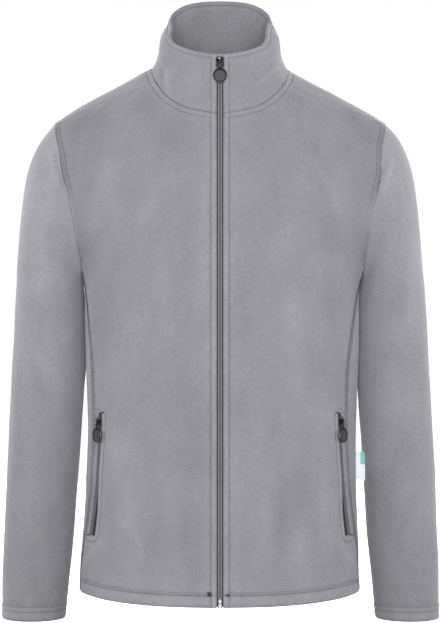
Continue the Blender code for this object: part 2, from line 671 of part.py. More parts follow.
def make_front_tape(name, side, panel):
    """A strip behind the front edge, and inside the collar's gap only as wide as the gap."""
    under = front_rows(1.0, T_NECK_FRONT - 3.0)
    reach = (TAPE_OUTER - ZIP_GAP / 2) / BODY.length(under)
    sewn, sewn_out = panel.at(np.stack([0 * reach, reach], axis=1), under)
    inside, inside_out = front_edge(front_rows(T_NECK_FRONT - 1.5, T_NECK_FRONT + COLLAR.t[-1] - 1.0))
    in_gap = np.stack([inside, inside], axis=1)
    in_gap[:, :, 0] = side * np.array([(TAPE_INNER + TAPE_NARROW) / 2, TAPE_NARROW])
    points = np.concatenate([sewn, in_gap])
    out = np.concatenate([sewn_out, np.stack([inside_out, inside_out], axis=1)])
    first = points[:, :1].copy()
    first[:, :, 0] = side * TAPE_INNER
    points, out = np.concatenate([first, points], axis=1), np.concatenate([out[:, :1], out], axis=1)
    return strip(name, points, out, TAPE_DEPTH, TAPE, TAPE_COLOUR)


def make_front_chain():
    bottom = BOX_TALL - BOX_RISE + SEAM
    top = front_s(FRONT_SLIDER_Z) - SLIDER_LONG / 2 - SEAM
    edge, normals = front_edge(front_rows(bottom, top))
    left, right = edge.copy(), edge.copy()
    left[:, 0], right[:, 0] = CHAIN_HALF, -CHAIN_HALF
    points = np.stack([right, left], axis=1)
    out = np.repeat(normals[:, None], 2, axis=1)
    return strip("zip_chain", points, out, CHAIN_TOP, CHAIN_BOTTOM - CHAIN_TOP, CHAIN_COLOUR)


def slot_heights(bottom, top):
    rows = ring_heights()
    rows = rows[(rows > bottom + 2) & (rows < top - 2)]
    return np.concatenate([[bottom], rows, [top]])


def make_pocket_zip(word, panel):
    heights = slot_heights(SLOT_END_Z - SLOT_TAPE_PAST, SLOT_TOP_Z + SLOT_TAPE_PAST)
    points, out = panel.beside_seam((SLOT_TAPE_NEAR, SLOT_NEAR, SLOT_FAR, SLOT_TAPE_FAR), heights)
    strip(f"pocket_tape_{word}", points, out, TAPE_DEPTH, TAPE, TAPE_COLOUR)
    top = SLOT_TOP_Z - POCKET_SLIDER_DOWN - SLIDER_SCALE_POCKET * SLIDER_LONG / 2 - 2 * SEAM
    middle, half = (SLOT_NEAR + SLOT_FAR) / 2, CHAIN_HALF * SLIDER_SCALE_POCKET
    points, out = panel.beside_seam((middle - half, middle + half), slot_heights(SLOT_END_Z + 2 * SEAM, top))
    strip(f"pocket_chain_{word}", points, out, CHAIN_TOP, CHAIN_BOTTOM - CHAIN_TOP, CHAIN_COLOUR)


# ---------------------------------------------------------------- hard pieces
def frame_at(point, up, out):
    """A frame on the cloth: z up the zip and -y out of the cloth."""
    y = -unit(out)
    z = unit(up - (up @ y) * y)
    columns = [Vector(np.cross(y, z)), Vector(y), Vector(z)]
    turn = Matrix(columns).transposed().to_4x4()
    return Matrix.Translation(Vector(point * MM)) @ turn


def put(mesh, name, frame, kind, helper=False):
    made = bpy.data.objects.new(name, mesh)
    made.matrix_world = frame
    if helper:
        made.hide_render = True
        made.display_type = "WIRE"
        CUTTERS.objects.link(made)
    else:
        mesh.materials.append(material(kind))
        JACKET.objects.link(made)
    return made


def block(name, size, centre, frame, kind=None, corner=0.0):
    """A box. Its four edges along y are rounded by the corner radius."""
    shape = bmesh.new()
    bmesh.ops.create_cube(shape, size=1.0, matrix=Matrix.Diagonal((*[v * MM for v in size], 1.0)))
    bmesh.ops.translate(shape, verts=shape.verts, vec=Vector(centre) * MM)
    if corner:
        upright = [e for e in shape.edges if abs(e.verts[0].co.y - e.verts[1].co.y) > size[1] * MM / 2]
        bmesh.ops.bevel(shape, geom=upright, offset=corner * MM, segments=3, affect="EDGES", profile=0.5)
    mesh = bpy.data.meshes.new(name)
    shape.to_mesh(mesh)
    shape.free()
    return put(mesh, name, frame, kind, helper=kind is None)


def combine(target, other, operation="UNION"):
    boolean = target.modifiers.new(f"{operation.lower()} {other.name}", "BOOLEAN")
    boolean.operation = operation
    boolean.solver = "EXACT"
    boolean.object = other


def soften(target, width):
    bevel = target.modifiers.new("soft edges", "BEVEL")
    bevel.width = width * MM
    bevel.segments = 1
    bevel.limit_method = "ANGLE"
    bevel.angle_limit = math.radians(50)


def make_slider(name, frame, scale):
    """A plate over the zip, a stem down between the cloth edges and a bridge for the pull."""
    wide, long, plate = SLIDER_WIDE * scale, SLIDER_LONG * scale, SLIDER_PLATE
    face = -SEAM - plate
    size = (wide, plate, long)
    slider = block(name, size, (0, face + plate / 2, 0), frame, GUNMETAL, SLIDER_CORNER * scale)
    stem_deep = CHAIN_BOTTOM + SEAM + plate / 2
    size = (STEM_WIDE * scale, stem_deep, STEM_LONG * scale)
    stem = block(f"{name} stem", size, (0, CHAIN_BOTTOM - stem_deep / 2, 0), frame)
    tall, middle = BRIDGE_TALL + plate / 2, (BRIDGE_LOW + BRIDGE_HIGH) / 2
    size = (BRIDGE_WIDE, tall, BRIDGE_HIGH - BRIDGE_LOW)
    bridge = block(f"{name} bridge", size, (0, face + plate / 2 - tall / 2, middle), frame)
    opening = BRIDGE_TALL - BRIDGE_BAR
    size = (2 * BRIDGE_WIDE, opening, BRIDGE_HIGH - BRIDGE_LOW - 2 * BRIDGE_BAR)
    cut = block(f"{name} bridge opening", size, (0, face - opening / 2, middle), frame)
    combine(slider, bridge)
    combine(slider, cut, "DIFFERENCE")
    combine(slider, stem)
    return slider


def tab_profile():
    """Half of the round tab's section, from its front face's middle round its raised rim to the back."""
    r, inner = TAB_RADIUS, TAB_RADIUS - TAB_RIM
    face, rim, soft = TAB_THICK / 2, TAB_RIM_THICK / 2, 0.4
    front = [(0, face), (inner, face), (inner + soft, rim), (r - soft, rim), (r, rim - soft)]
    return front + [(x, -y) for x, y in reversed(front)]


def make_pull(name, frame):
    """A pin through the slider's bridge, two arms and a round tab, hanging straight down from the pin."""
    face = -SEAM - SLIDER_PLATE
    pin_place = Matrix.Translation(Vector((0, face + PIN_PLACE_Y, PIN_PLACE_Z)) * MM)
    down = frame.to_3x3().inverted() @ Vector((0, 0, -1))
    lean = min(math.atan2(down.y, -down.z), math.radians(PULL_LEAN))
    hanging = frame @ pin_place @ Matrix.Rotation(lean, 4, "X")
    profile = tab_profile()
    mesh = bpy.data.meshes.new(name)
    verts = [(x * MM, y * MM, 0.0) for x, y in profile]
    mesh.from_pydata(verts, [(k, k + 1) for k in range(len(verts) - 1)], [])
    tab = put(mesh, name, hanging, GUNMETAL)
    screw = tab.modifiers.new("turned", "SCREW")
    screw.axis = "Y"
    screw.steps = screw.render_steps = 28
    screw.use_merge_vertices = True
    screw.merge_threshold = 0.000001
    screw.use_normal_calculate = True
    lowered = tab.modifiers.new("hung", "DISPLACE")
    lowered.direction = "Z"
    lowered.mid_level = 0.0
    lowered.strength = -TAB_DROP * MM
    for side in (-1, 1):
        size = (ARM_WIDE, ARM_THICK, ARM_LONG)
        centre = (side * (ARM_INNER + ARM_WIDE / 2), 0, -ARM_LONG / 2 + ARM_THICK / 2)
        combine(tab, block(f"{name} arm {side}", size, centre, hanging))
    combine(tab, make_pin(f"{name} pin", hanging))
    return tab


def make_pin(name, frame):
    shape = bmesh.new()
    length = 2 * ARM_INNER + ARM_WIDE
    turn = Matrix.Rotation(math.radians(90), 4, "Y")
    radius = PIN_RADIUS * MM
    bmesh.ops.create_cone(
        shape, cap_ends=True, segments=10, radius1=radius, radius2=radius, depth=length * MM, matrix=turn
    )
    mesh = bpy.data.meshes.new(name)
    shape.to_mesh(mesh)
    shape.free()
    return put(mesh, name, frame, None, helper=True)


def front_slider_frame():
    s = front_s(FRONT_SLIDER_Z)
    points, normals = front_edge([s - 4, s, s + 4])
    points[:, 0] = 0.0
    return frame_at(points[1], points[2] - points[0], normals[1])


def pocket_slider_frame(panel):
    z, reach = SLOT_TOP_Z - POCKET_SLIDER_DOWN, SLIDER_LONG / 2
    points, normals = panel.beside_seam(((SLOT_NEAR + SLOT_FAR) / 2,), [z - reach, z, z + reach])
    return frame_at(points[1, 0], points[2, 0] - points[0, 0], normals[1, 0])


def make_box():
    """The pin and box that close the zip at the hem."""
    points, normals = front_edge([0.0, BOX_TALL / 2, BOX_TALL])
    points[:, 0] = 0.0
    frame = frame_at(points[0], points[2] - points[0], normals[1])
    deep = CHAIN_BOTTOM + 0.2
    centre = (0, CHAIN_BOTTOM - deep / 2, BOX_TALL / 2 - BOX_RISE)
    box = block("zip_box", (BOX_WIDE, deep, BOX_TALL), centre, frame, STEEL, 1.2)
    soften(box, 0.35)
    return box


def make_label():
    """A folded woven tab at the left side, standing out and leaning forward past the sleeve."""
    z = np.linspace(LABEL_TOP_Z, LABEL_TOP_Z - LABEL_TALL, 5)
    u = np.linspace(0.5, 1, 200)
    inner_x = []
    for height in ring_t(z, front=False):
        row = BODY.at(u, height + 0 * u)
        inner_x.append(np.interp(-LABEL_Y, -row[:, 1], row[:, 0]) + SEAM)
    out = np.linspace(0, 1, 6)[None, :]
    x = np.array(inner_x)[:, None] + out * LABEL_OUT
    y = LABEL_Y - LABEL_FORWARD * out**1.5 + 0 * x
    points = np.stack([x, y, z[:, None] + 0 * x], axis=2)
    slope = unit(np.gradient(points, axis=1))
    front = np.cross(slope, np.array([0.0, 0.0, -1.0]))
    front *= -np.sign(front[..., 1:2])
    return wall("side_label", points, offset(points, front, -LABEL_THICK), LABEL_COLOUR)


# ---------------------------------------------------------------- the scene
def clear_scene():
    for old in list(bpy.data.objects):
        bpy.data.objects.remove(old)


def new_collection(name):
    made = bpy.data.collections.new(name)
    bpy.context.scene.collection.children.link(made)
    return made


clear_scene()
JACKET = new_collection("fleece jacket")
CUTTERS = new_collection("cutters")
COLLAR = collar_surface()

for word, side in (("left", 1), ("right", -1)):
    panel = Front(f"front_{word}", side)
    make_front(f"front_{word}", panel)
    make_sleeve(f"sleeve_{word}", side)
    make_front_tape(f"zip_tape_{word}", side, panel)
    make_pocket_zip(word, panel)
    make_slider(f"pocket_slider_{word}", pocket_slider_frame(panel), SLIDER_SCALE_POCKET)
    make_pull(f"pocket_pull_{word}", pocket_slider_frame(panel))
make_back()
make_collar()
make_front_chain()
make_box()
make_slider("zip_slider", front_slider_frame(), 1.0)
make_pull("zip_pull", front_slider_frame())
make_label()
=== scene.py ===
# %% [markdown]
# # A fleece zip jacket
# The jacket is shown zipped up and filled out, with nobody in it. Its panels, zips, sliders and pull
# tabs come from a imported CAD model, which is the fixed frame of this scene. Here each panel of cloth
# becomes a thin, soft shell on its solid's form, and the sewing, the nap and the zips' fine parts are
# added. Lengths in the tables are millimetres, because that is how a maker measures cloth.

# %% Load the frame
import math

import bmesh
import bpy
import numpy as np
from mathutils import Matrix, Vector, noise
from mathutils.bvhtree import BVHTree
from mathutils.kdtree import KDTree


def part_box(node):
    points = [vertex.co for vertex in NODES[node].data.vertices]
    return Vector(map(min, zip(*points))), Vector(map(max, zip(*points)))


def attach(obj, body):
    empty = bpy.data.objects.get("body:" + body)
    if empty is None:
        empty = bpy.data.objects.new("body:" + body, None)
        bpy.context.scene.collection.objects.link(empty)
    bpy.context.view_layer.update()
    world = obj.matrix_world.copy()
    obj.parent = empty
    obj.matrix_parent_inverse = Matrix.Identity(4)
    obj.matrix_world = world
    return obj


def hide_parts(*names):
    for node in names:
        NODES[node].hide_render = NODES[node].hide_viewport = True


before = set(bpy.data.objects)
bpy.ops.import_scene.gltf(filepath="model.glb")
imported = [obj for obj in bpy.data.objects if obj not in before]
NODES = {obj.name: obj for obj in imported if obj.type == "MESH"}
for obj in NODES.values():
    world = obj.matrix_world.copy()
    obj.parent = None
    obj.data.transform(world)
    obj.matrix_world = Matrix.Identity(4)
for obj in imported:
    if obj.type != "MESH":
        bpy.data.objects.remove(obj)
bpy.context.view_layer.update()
MM = 0.001

# %% [markdown]
# ## The camera
# A long lens far away keeps the two sleeves upright. The camera looks straight along +Y at the height
# of the jacket's middle. It comes first, because everything else is judged through it.

# %% Camera
CAMERA_AWAY, CAMERA_HEIGHT = 2.4, -0.3126
lens = bpy.data.cameras.new("camera")
lens.lens, lens.sensor_width = 104.94, 36.0
camera = bpy.data.objects.new("camera", lens)
camera.location = (0.0, -CAMERA_AWAY, CAMERA_HEIGHT)
camera.rotation_euler = (math.radians(90), 0.0, 0.0)
bpy.context.scene.collection.objects.link(camera)
bpy.context.scene.camera = camera
print("camera:", [round(v, 3) for v in camera.location], "lens", lens.lens, "mm")

# %% [markdown]
# ## Floor
# A plain white floor runs on to the horizon. It glows a little, so that it is evenly pale, and it is
# hidden from the rays that light the cloth, so that its glow doesn't colour the jacket.


# %% Floor
def plain_object(name, mesh):
    """A new object of the scene that shows a mesh or a light."""
    made = bpy.data.objects.new(name, mesh)
    bpy.context.scene.collection.objects.link(made)
    return made


FLOOR_Z, FLOOR_HALF = -0.86, 60.0
FLOOR_GREY, FLOOR_ROUGHNESS = (0.9, 0.9, 0.9, 1.0), 0.9
WHITE = (1.0, 1.0, 1.0, 1.0)
ground = bpy.data.meshes.new("floor")
corners = [(-1, -1), (1, -1), (1, 1), (-1, 1)]
ground.from_pydata([(x * FLOOR_HALF, y * FLOOR_HALF, FLOOR_Z) for x, y in corners], [], [(0, 1, 2, 3)])
floor = plain_object("floor", ground)
white = bpy.data.materials.new("white floor")
white.use_nodes = True
shader = white.node_tree.nodes["Principled BSDF"]
shader.inputs["Base Color"].default_value = FLOOR_GREY
shader.inputs["Roughness"].default_value = FLOOR_ROUGHNESS
shader.inputs["Emission Color"].default_value = WHITE
shader.inputs["Emission Strength"].default_value = 1.0
ground.materials.append(white)
floor.visible_diffuse = False
floor.visible_glossy = False
print("floor:", FLOOR_HALF * 2, "m wide at height", FLOOR_Z)

# %% [markdown]
# ## Light
# Faint white light comes from all round, as in a studio tent. A large soft light stands low in front,
# as in a shop's picture of clothes. Pairs beside and behind the jacket light the edges of the sleeves,
# one more lights the back, and a smaller one above the front makes the glints on the metal. The lights
# are wide, so the cloth has no hard shadows, and its velvet sheen can show along the outline.

# %% Studio tent
TENT_LIGHT = 0.15  # how bright the tent is as a light. The camera sees it pure white
world = bpy.data.worlds.new("studio tent")
world.use_nodes = True
tent = world.node_tree.nodes["Background"]
tent.inputs["Color"].default_value = WHITE
seen = world.node_tree.nodes.new("ShaderNodeLightPath")
strength = world.node_tree.nodes.new("ShaderNodeMapRange")
strength.inputs["To Min"].default_value = TENT_LIGHT
strength.inputs["To Max"].default_value = 1.0
world.node_tree.links.new(seen.outputs["Is Camera Ray"], strength.inputs["Value"])
world.node_tree.links.new(strength.outputs[0], tent.inputs["Strength"])
bpy.context.scene.world = world
bpy.context.scene.view_settings.view_transform = "Standard"
print("tent:", TENT_LIGHT, "as a light")


# %% Lights
def soft_light(name, place, aim, size, power):
    """A square area light that points at a place."""
    data = bpy.data.lights.new(name, "AREA")
    data.shape, data.size, data.energy = "SQUARE", size, power
    light = plain_object(name, data)
    light.location = place
    light.rotation_euler = (Vector(aim) - Vector(place)).to_track_quat("-Z", "Y").to_euler()


CHEST, COLLAR_FRONT = (0.0, 0.0, -0.35), (0.0, 0.0, -0.1)  # what the lights point at
#  name, place, aim, width in metres, watts
LIGHTS = (
    ("front light", (0.0, -3.2, -0.5), CHEST, 2.4, 129.0),
    ("back light", (0.0, 3.2, 0.5), CHEST, 2.4, 52.0),
    ("top light", (0.0, -1.5, 2.2), COLLAR_FRONT, 0.9, 12.0),
)
PAIRED_LIGHTS = (
    ("side light", (2.6, -0.3, 0.0), CHEST, 1.6, 30.0),
    ("edge light", (2.0, 1.5, 0.3), CHEST, 1.6, 22.0),
)
for row in LIGHTS:
    soft_light(*row)
for side in (-1, 1):
    for name, (x, y, z), *others in PAIRED_LIGHTS:
        soft_light(name, (side * x, y, z), *others)

# %% [markdown]
# ## Helpers for points
# A mesh is a list of points and a list of faces. Most of the work on this jacket moves many points at
# once, so a mesh's points are read into one table, and nearest points are found with a search tree.


# %% Helpers for points
def unit(v):
    """Directions of length 1."""
    return v / np.maximum(np.linalg.norm(v, axis=-1, keepdims=True), 1e-12)


def smooth(x):
    """A soft step from 0 to 1 as x goes from 0 to 1."""
    x = np.clip(x, 0.0, 1.0)
    return x * x * (3 - 2 * x)


def coordinates(mesh):
    """The points of a mesh, one row each."""
    table = np.empty(len(mesh.vertices) * 3, np.float32)
    mesh.vertices.foreach_get("co", table)
    return table.reshape(-1, 3).astype(float)


def tree_of(points):
    """A search tree of points."""
    tree = KDTree(len(points))
    for k, p in enumerate(points):
        tree.insert(p, k)
    tree.balance()
    return tree


def nearest_rows(points, wanted):
    """For each wanted point, the row of the nearest point and how far it is."""
    tree = tree_of(points)
    found = [tree.find(p) for p in wanted]
    return np.array([f[1] for f in found]), np.array([f[2] for f in found])


print("points of the back's solid:", len(coordinates(NODES["back"].data)))

# %% [markdown]
# ## Cloth shells
# The CAD walls are coarse, with flat triangles. A shell is a copy with the triangles joined to quads,
# the cut edges kept crisp by creases, and the rest rounded by a subdivision surface. This keeps the
# solid's form, and gives enough points for folds and puckers. A cloth simulation would lose the
# cut and the pose, so the folds are listed one by one.

# %% Quads with creased edges
CUT_EDGE = math.radians(55)  # where two faces meet more sharply, the cloth was cut
JOIN_FLAT, JOIN_SHAPE = math.radians(35), math.radians(80)  # how uneven two joined triangles may be
WELD = 1e-6


def quads_of(node):
    """A welded copy of a CAD node with its triangles joined and its cut edges creased."""
    shape = bmesh.new()
    shape.from_mesh(NODES[node].data)
    bmesh.ops.remove_doubles(shape, verts=shape.verts, dist=WELD)
    bmesh.ops.join_triangles(
        shape, faces=shape.faces, angle_face_threshold=JOIN_FLAT, angle_shape_threshold=JOIN_SHAPE
    )
    crease = shape.edges.layers.float.new("crease_edge")
    for edge in shape.edges:
        if edge.calc_face_angle(0.0) > CUT_EDGE:
            edge[crease] = 1.0
    mesh = bpy.data.meshes.new(f"{node} cage")
    shape.to_mesh(mesh)
    shape.free()
    return mesh


def subdivided(mesh, levels):
    """The mesh of a subdivision surface on a cage."""
    cage = plain_object("cage", mesh)
    rounding = cage.modifiers.new("round", "SUBSURF")
    rounding.levels = rounding.render_levels = levels
    made = bpy.data.meshes.new_from_object(cage.evaluated_get(bpy.context.evaluated_depsgraph_get()))
    bpy.data.objects.remove(cage)
    return made


# %% Outer and inner side
def skins_of(shape):
    """Sets of faces that no cut edge crosses, the largest first: the outer side, then the inner side."""
    crease = shape.edges.layers.float["crease_edge"]
    seen, skins = set(), []
    for first in shape.faces:
        if first in seen:
            continue
        stack, skin = [first], []
        seen.add(first)
        while stack:
            face = stack.pop()
            skin.append(face)
            for edge in face.edges:
                if edge[crease] < 0.5:
                    fresh = [other for other in edge.link_faces if other not in seen]
                    seen.update(fresh)
                    stack.extend(fresh)
        skins.append(skin)
    return sorted(skins, key=lambda skin: -sum(face.calc_area() for face in skin))


OUTER, INNER = 1, 2
LEVELS = {"front_left": 3, "front_right": 3, "back": 2, "sleeve_left": 2, "sleeve_right": 2, "collar": 3}
SHELLS = {}
for node, levels in LEVELS.items():
    shape = bmesh.new()
    shape.from_mesh(subdivided(quads_of(node), levels))
    skin_of = shape.faces.layers.int.new("skin")
    for mark, skin in zip((OUTER, INNER), skins_of(shape)):
        for face in skin:
            face[skin_of] = mark
    SHELLS[node] = shape
    print(f"{node}: {len(shape.faces)} faces")

# %% [markdown]
# ## Easing the shells
# Cloth settles. The shoulders fill out a little, the sleeves lean in until they touch the body under the
# arms, the sides of the body swing a few millimetres to the left, the front of the left armhole bows
# out, the pocket slots gape at their lower ends, and the top of the collar curls in at the sides. Each
# move is given at some heights or widths and runs evenly between them. The seams stay closed, because
# the panels on both sides of a seam get the same move.

# %% Ease tables
# All in millimetres, for each side: -1 is the wearer's right, and 1 is the left.
#  height, how far the side of the body goes out
SIDE_OUT = {
    -1: (
        (-260, 0), (-300, -2.2), (-360, -2.6), (-470, -2.4),
        (-530, 0.2), (-600, 1.2), (-640, 2.6), (-690, 1.5),
    ),
    1: (
        (-230, 0), (-290, 2.2), (-360, 3.2), (-440, 3.4),
        (-560, 3.0), (-620, 2.4), (-660, 0.5), (-690, 0.0),
    ),
}
#  height, how far the sleeve's outer line and its inner line go out
SLEEVE_OUT = {
    -1: (
        (-258, 0, 0), (-275, -1, -4.2), (-300, -1.2, -6.8), (-345, -1.2, -8.0), (-380, -0.6, -7.2),
        (-412, -1.4, -4.6), (-440, -2.2, -4.2), (-540, -2.5, -4.6), (-640, -2.6, -5.0), (-740, -1.4, -4.0),
    ),
    1: (
        (-258, 0, 0), (-275, 1, -2.2), (-300, 1.2, -2.8), (-345, 1.2, -3.2), (-380, 0.2, -3.8),
        (-412, 0.2, -2.6), (-480, 0.0, -1.4), (-540, 0.0, -2.6), (-600, -0.8, -3.8), (-740, 0.0, -2.6),
    ),
}
#  distance from the middle, how far the shoulder rises
SHOULDER_UP = {
    -1: ((72, 0), (88, 2.8), (104, 5.0), (150, 4.2), (200, 4.0), (214, 4.6), (228, 1.6), (245, 0)),
    1: ((80, 0), (104, 2.4), (145, 2.4), (165, 1.4), (188, 1.8), (205, 3.4), (235, 3.6), (262, 0)),
}
#  height, how far the front of the armhole goes out, and how far it comes forward below the chest
ARM_OUT = {
    -1: (
        (-110, 0, 0), (-139, 2.5, 0), (-158, 1.0, 0), (-190, 2.5, 2),
        (-222, 1.5, 4), (-250, 0, 4), (-275, 0, 0),
    ),
    1: (
        (-104, 0, 0), (-120, 3, 0), (-139, 7, 0), (-190, 6.5, 2), (-209, 8, 4), (-228, 8.5, 4),
        (-247, 6.5, 4), (-266, 4.4, 2), (-285, 1.5, 0), (-300, 0, 0),
    ),
}
#  height, how far out the armhole's seam is in front
ARM_SEAM = ((-76, 214), (-107, 204), (-139, 195), (-171, 187), (-209, 180), (-259, 179), (-300, 180))
#  height, how far the inner edge of the pocket's slot gapes
SLOT_OPEN = ((-520, 0), (-549, 2.0), (-568, 4.5), (-594, 5.8), (-602, 5.8), (-612, 0))
#  degrees from the front where the collar's curl is widest, its spread, and its width
COLLAR_CURL = {-1: (95.0, 38.0, 10.0), 1: (90.0, 44.0, 12.0)}
print("armholes go out up to, mm:", [max(row[1] for row in rows) for rows in ARM_OUT.values()])

# %% Move the armholes
ARM_WIDE, ARM_NARROW = 24.0, 14.0  # how far beside the seam the cloth still moves out, and forward
ARM_BEHIND, ARM_FADE = 14.0, 40.0  # behind this y nothing moves, and in front of it the move grows


def eased(table, at, column=1):
    """A table's values at some keys, on straight lines between its rows."""
    keys, values = np.array(table, float).T[[0, column]]
    if keys[0] > keys[-1]:
        keys, values, at = -keys, values, -at
    return np.interp(at, keys, values)


def arm_move(side, points):
    """How far the front of an armhole and the cloth on both sides of it move."""
    x, y, z = points.T
    beside = x * side - eased(ARM_SEAM, z)
    before = smooth((ARM_BEHIND - y) / ARM_FADE) * (x * side > 0)
    out = side * before * eased(ARM_OUT[side], z) * np.exp(-((beside / ARM_WIDE) ** 2))
    forward = before * eased(ARM_OUT[side], z, 2) * np.exp(-((beside / ARM_NARROW) ** 2))
    return np.stack([out, -forward, 0 * z], axis=1)


# %% Open the pocket slots
SLOT_REACH, SLOT_HALF = 16.0, 2.2  # the move fades over the first, and starts within the second
SLOT_MIDDLE_Z, SLOT_TALL, SLOT_WIDE = -560.0, 70.0, 28.0  # the surface is fitted to this part of the panel
POCKET_FROM_X, POCKET_BEFORE_Y = 120.0, -10.0


def gape(side, points):
    """How far the cloth beside a pocket's slot moves, along the panel's own curved surface."""
    x, y, z = points.T
    out = x * side
    name = "left" if side > 0 else "right"
    chain = coordinates(NODES[f"pocket_chain_{name}"].data) / MM
    slot_x = np.polyfit(chain[:, 2], np.abs(chain[:, 0]), 2)
    slot_y = np.polyfit(chain[:, 2], chain[:, 1], 2)

    def depth_terms(at, up):
        return np.stack([np.ones_like(up), at, at**2, up, up**2, at * up], axis=1)

    around = coordinates(NODES[f"front_{name}"].data) / MM
    around[:, 0] *= side
    near = np.abs(around[:, 0] - np.polyval(slot_x, around[:, 2])) < SLOT_WIDE
    around = around[near & (np.abs(around[:, 2] - SLOT_MIDDLE_Z) < SLOT_TALL)]
    fit = np.linalg.lstsq(depth_terms(around[:, 0], around[:, 2]), around[:, 1], rcond=None)[0]
    centre = np.polyval(slot_x, z)
    slope = fit[1] + 2 * fit[2] * centre + fit[5] * z
    aside = (out - centre + slope * (y - np.polyval(slot_y, z))) / np.sqrt(1 + slope**2)
    share = smooth(-aside / SLOT_HALF) * np.exp(np.minimum(aside, 0.0) / SLOT_REACH)
    shift = -eased(SLOT_OPEN, z) * share * (out > POCKET_FROM_X) * (y < POCKET_BEFORE_Y)
    deeper = (depth_terms(out + shift, z) - depth_terms(out, z)) @ fit
    return np.stack([side * shift, deeper, 0 * z], axis=1)


# %% Ease every panel
SHOULDER_FOOT, SHOULDER_FADE = -200.0, 80.0  # the shoulders' rise grows over this height
SLEEVE_TOP, SLEEVE_STEP, SLEEVE_BAND = -250.0, 15.0, 10.0  # where the sleeve's width is read
SLEEVE_LEAN_Z, SIDE_SWING_Z = -258.0, -229.0  # the sleeve leans and the side swings below these
SIDE_FROM_X, SIDE_FADE = 164.0, 14.0
COLLAR_MIDDLE_Y, CURL_DEEP, RIM_STEP = -6.0, 15.0, 6.0
BULGE, BULGE_DOWN, BULGE_TALL = 1.6, 20.0, 10.0  # under the curl the collar stands out a little


def ease(node, points):
    """Moves of a panel's points, all in millimetres."""
    x, y, z = points.T
    move = np.zeros_like(points)
    for side in (-1, 1):
        mine = (x * side > 0).astype(float)
        out = x * side
        if node != "collar":
            move += arm_move(side, points)
        if node == f"front_{'left' if side > 0 else 'right'}":
            move += gape(side, points)
        move[:, 2] += mine * eased(SHOULDER_UP[side], out) * smooth((z - SHOULDER_FOOT) / SHOULDER_FADE)
        if node.startswith("sleeve"):
            levels = np.arange(z.min(), SLEEVE_TOP, SLEEVE_STEP)
            bands = [out[np.abs(z - level) < SLEEVE_BAND] for level in levels]
            near, far = (np.interp(z, levels, [f(band) for band in bands]) for f in (np.min, np.max))
            share = np.clip((out - near) / (far - near), 0, 1)
            outer, inner = eased(SLEEVE_OUT[side], z, 1), eased(SLEEVE_OUT[side], z, 2)
            move[:, 0] += side * mine * (inner + (outer - inner) * share) * (z < SLEEVE_LEAN_Z)
        elif node != "collar":
            share = smooth((out - SIDE_FROM_X) / SIDE_FADE)
            move[:, 0] += side * mine * eased(SIDE_OUT[side], z) * share * (z < SIDE_SWING_Z)
        else:
            peak, spread, wide = COLLAR_CURL[side]
            turn = np.degrees(np.arctan2(out, COLLAR_MIDDLE_Y - y))
            steps = np.arange(0.0, 180.0, RIM_STEP)
            tops = [z[(turn >= s) & (turn < s + RIM_STEP) & (out > 0)].max() for s in steps]
            rim = np.interp(turn, steps + RIM_STEP / 2, tops)
            share = np.cos(np.clip((turn - peak) / spread, -1, 1) * math.pi / 2) ** 2
            bulge = BULGE * np.exp(-(((rim - z - BULGE_DOWN) / BULGE_TALL) ** 2))
            move[:, 0] += side * mine * share * (bulge - wide * smooth(1.0 - (rim - z) / CURL_DEEP))
    return move


for node, shape in SHELLS.items():
    points = np.array([v.co for v in shape.verts])
    moves = ease(node, points / MM) * MM
    for v, place in zip(shape.verts, points + moves):
        v.co = place
    print(node, "eased up to", round(np.abs(moves).max() / MM, 1), "mm")

# %% [markdown]
# ## Panel edges
# Every seam and stitch line is measured from a panel's cut edge. The edge of the outer side is a loop
# of points. It is split where the pattern turns a corner, and each stretch between two corners has the
# name that a tailor would give it.

# %% Corners and stretches
CORNERS = {  # millimetres, on the wearer's left, before the armholes are moved. The right side mirrors x
    "hem front": (4.0, -135.0, -682.5),
    "hem side": (181.1, -29.0, -677.0),
    "underarm": (179.7, -27.9, -258.6),
    "shoulder point": (214.7, -28.9, -76.7),
    "shoulder neck": (82.2, -44.7, -19.0),
    "neck front": (3.9, -87.9, -60.5),
    "collar top": (4.0, -77.4, 16.5),
}
CORNER_REACH = 6.5 * MM
STRETCHES = {  # the corners at the two ends of each stretch
    "hem": {"hem front", "hem side"},
    "back hem": {"hem side"},
    "side": {"hem side", "underarm"},
    "armhole": {"underarm", "shoulder point"},
    "shoulder": {"shoulder point", "shoulder neck"},
    "neck": {"shoulder neck", "neck front"},
    "back neck": {"shoulder neck"},
    "edge": {"neck front", "hem front"},
    "collar foot": {"neck front"},
    "collar edge": {"neck front", "collar top"},
    "rim": {"collar top"},
}
PANEL_CORNERS = {
    "front": ("hem front", "hem side", "underarm", "shoulder point", "shoulder neck", "neck front"),
    "back": ("hem side", "underarm", "shoulder point", "shoulder neck"),
    "collar": ("neck front", "collar top"),
    "sleeve": (),
}
print("corners:", len(CORNERS), "stretches:", len(STRETCHES))


# %% Loops round a panel
def edge_loops(shape, mark):
    """The loops of points round a skin, the longest first."""
    skin_of = shape.faces.layers.int["skin"]
    ends = {}
    for edge in shape.edges:
        if sum(face[skin_of] == mark for face in edge.link_faces) == 1:
            for one, other in (edge.verts, reversed(edge.verts)):
                ends.setdefault(one, []).append(other)
    loops = []
    while ends:
        first, (ahead, _) = next(iter(ends.items()))
        loop, before = [first], first
        while ahead is not first:
            loop.append(ahead)
            before, ahead = ahead, next(v for v in ends[ahead] if v is not before)
        for v in loop:
            ends.pop(v)
        loops.append(np.array([v.co for v in loop]))
    return sorted(loops, key=lambda loop: -np.linalg.norm(np.diff(loop, axis=0), axis=1).sum())


def run_of(points):
    """How far along its line each point is."""
    return np.concatenate([[0.0], np.cumsum(np.linalg.norm(np.diff(points, axis=0), axis=1))])


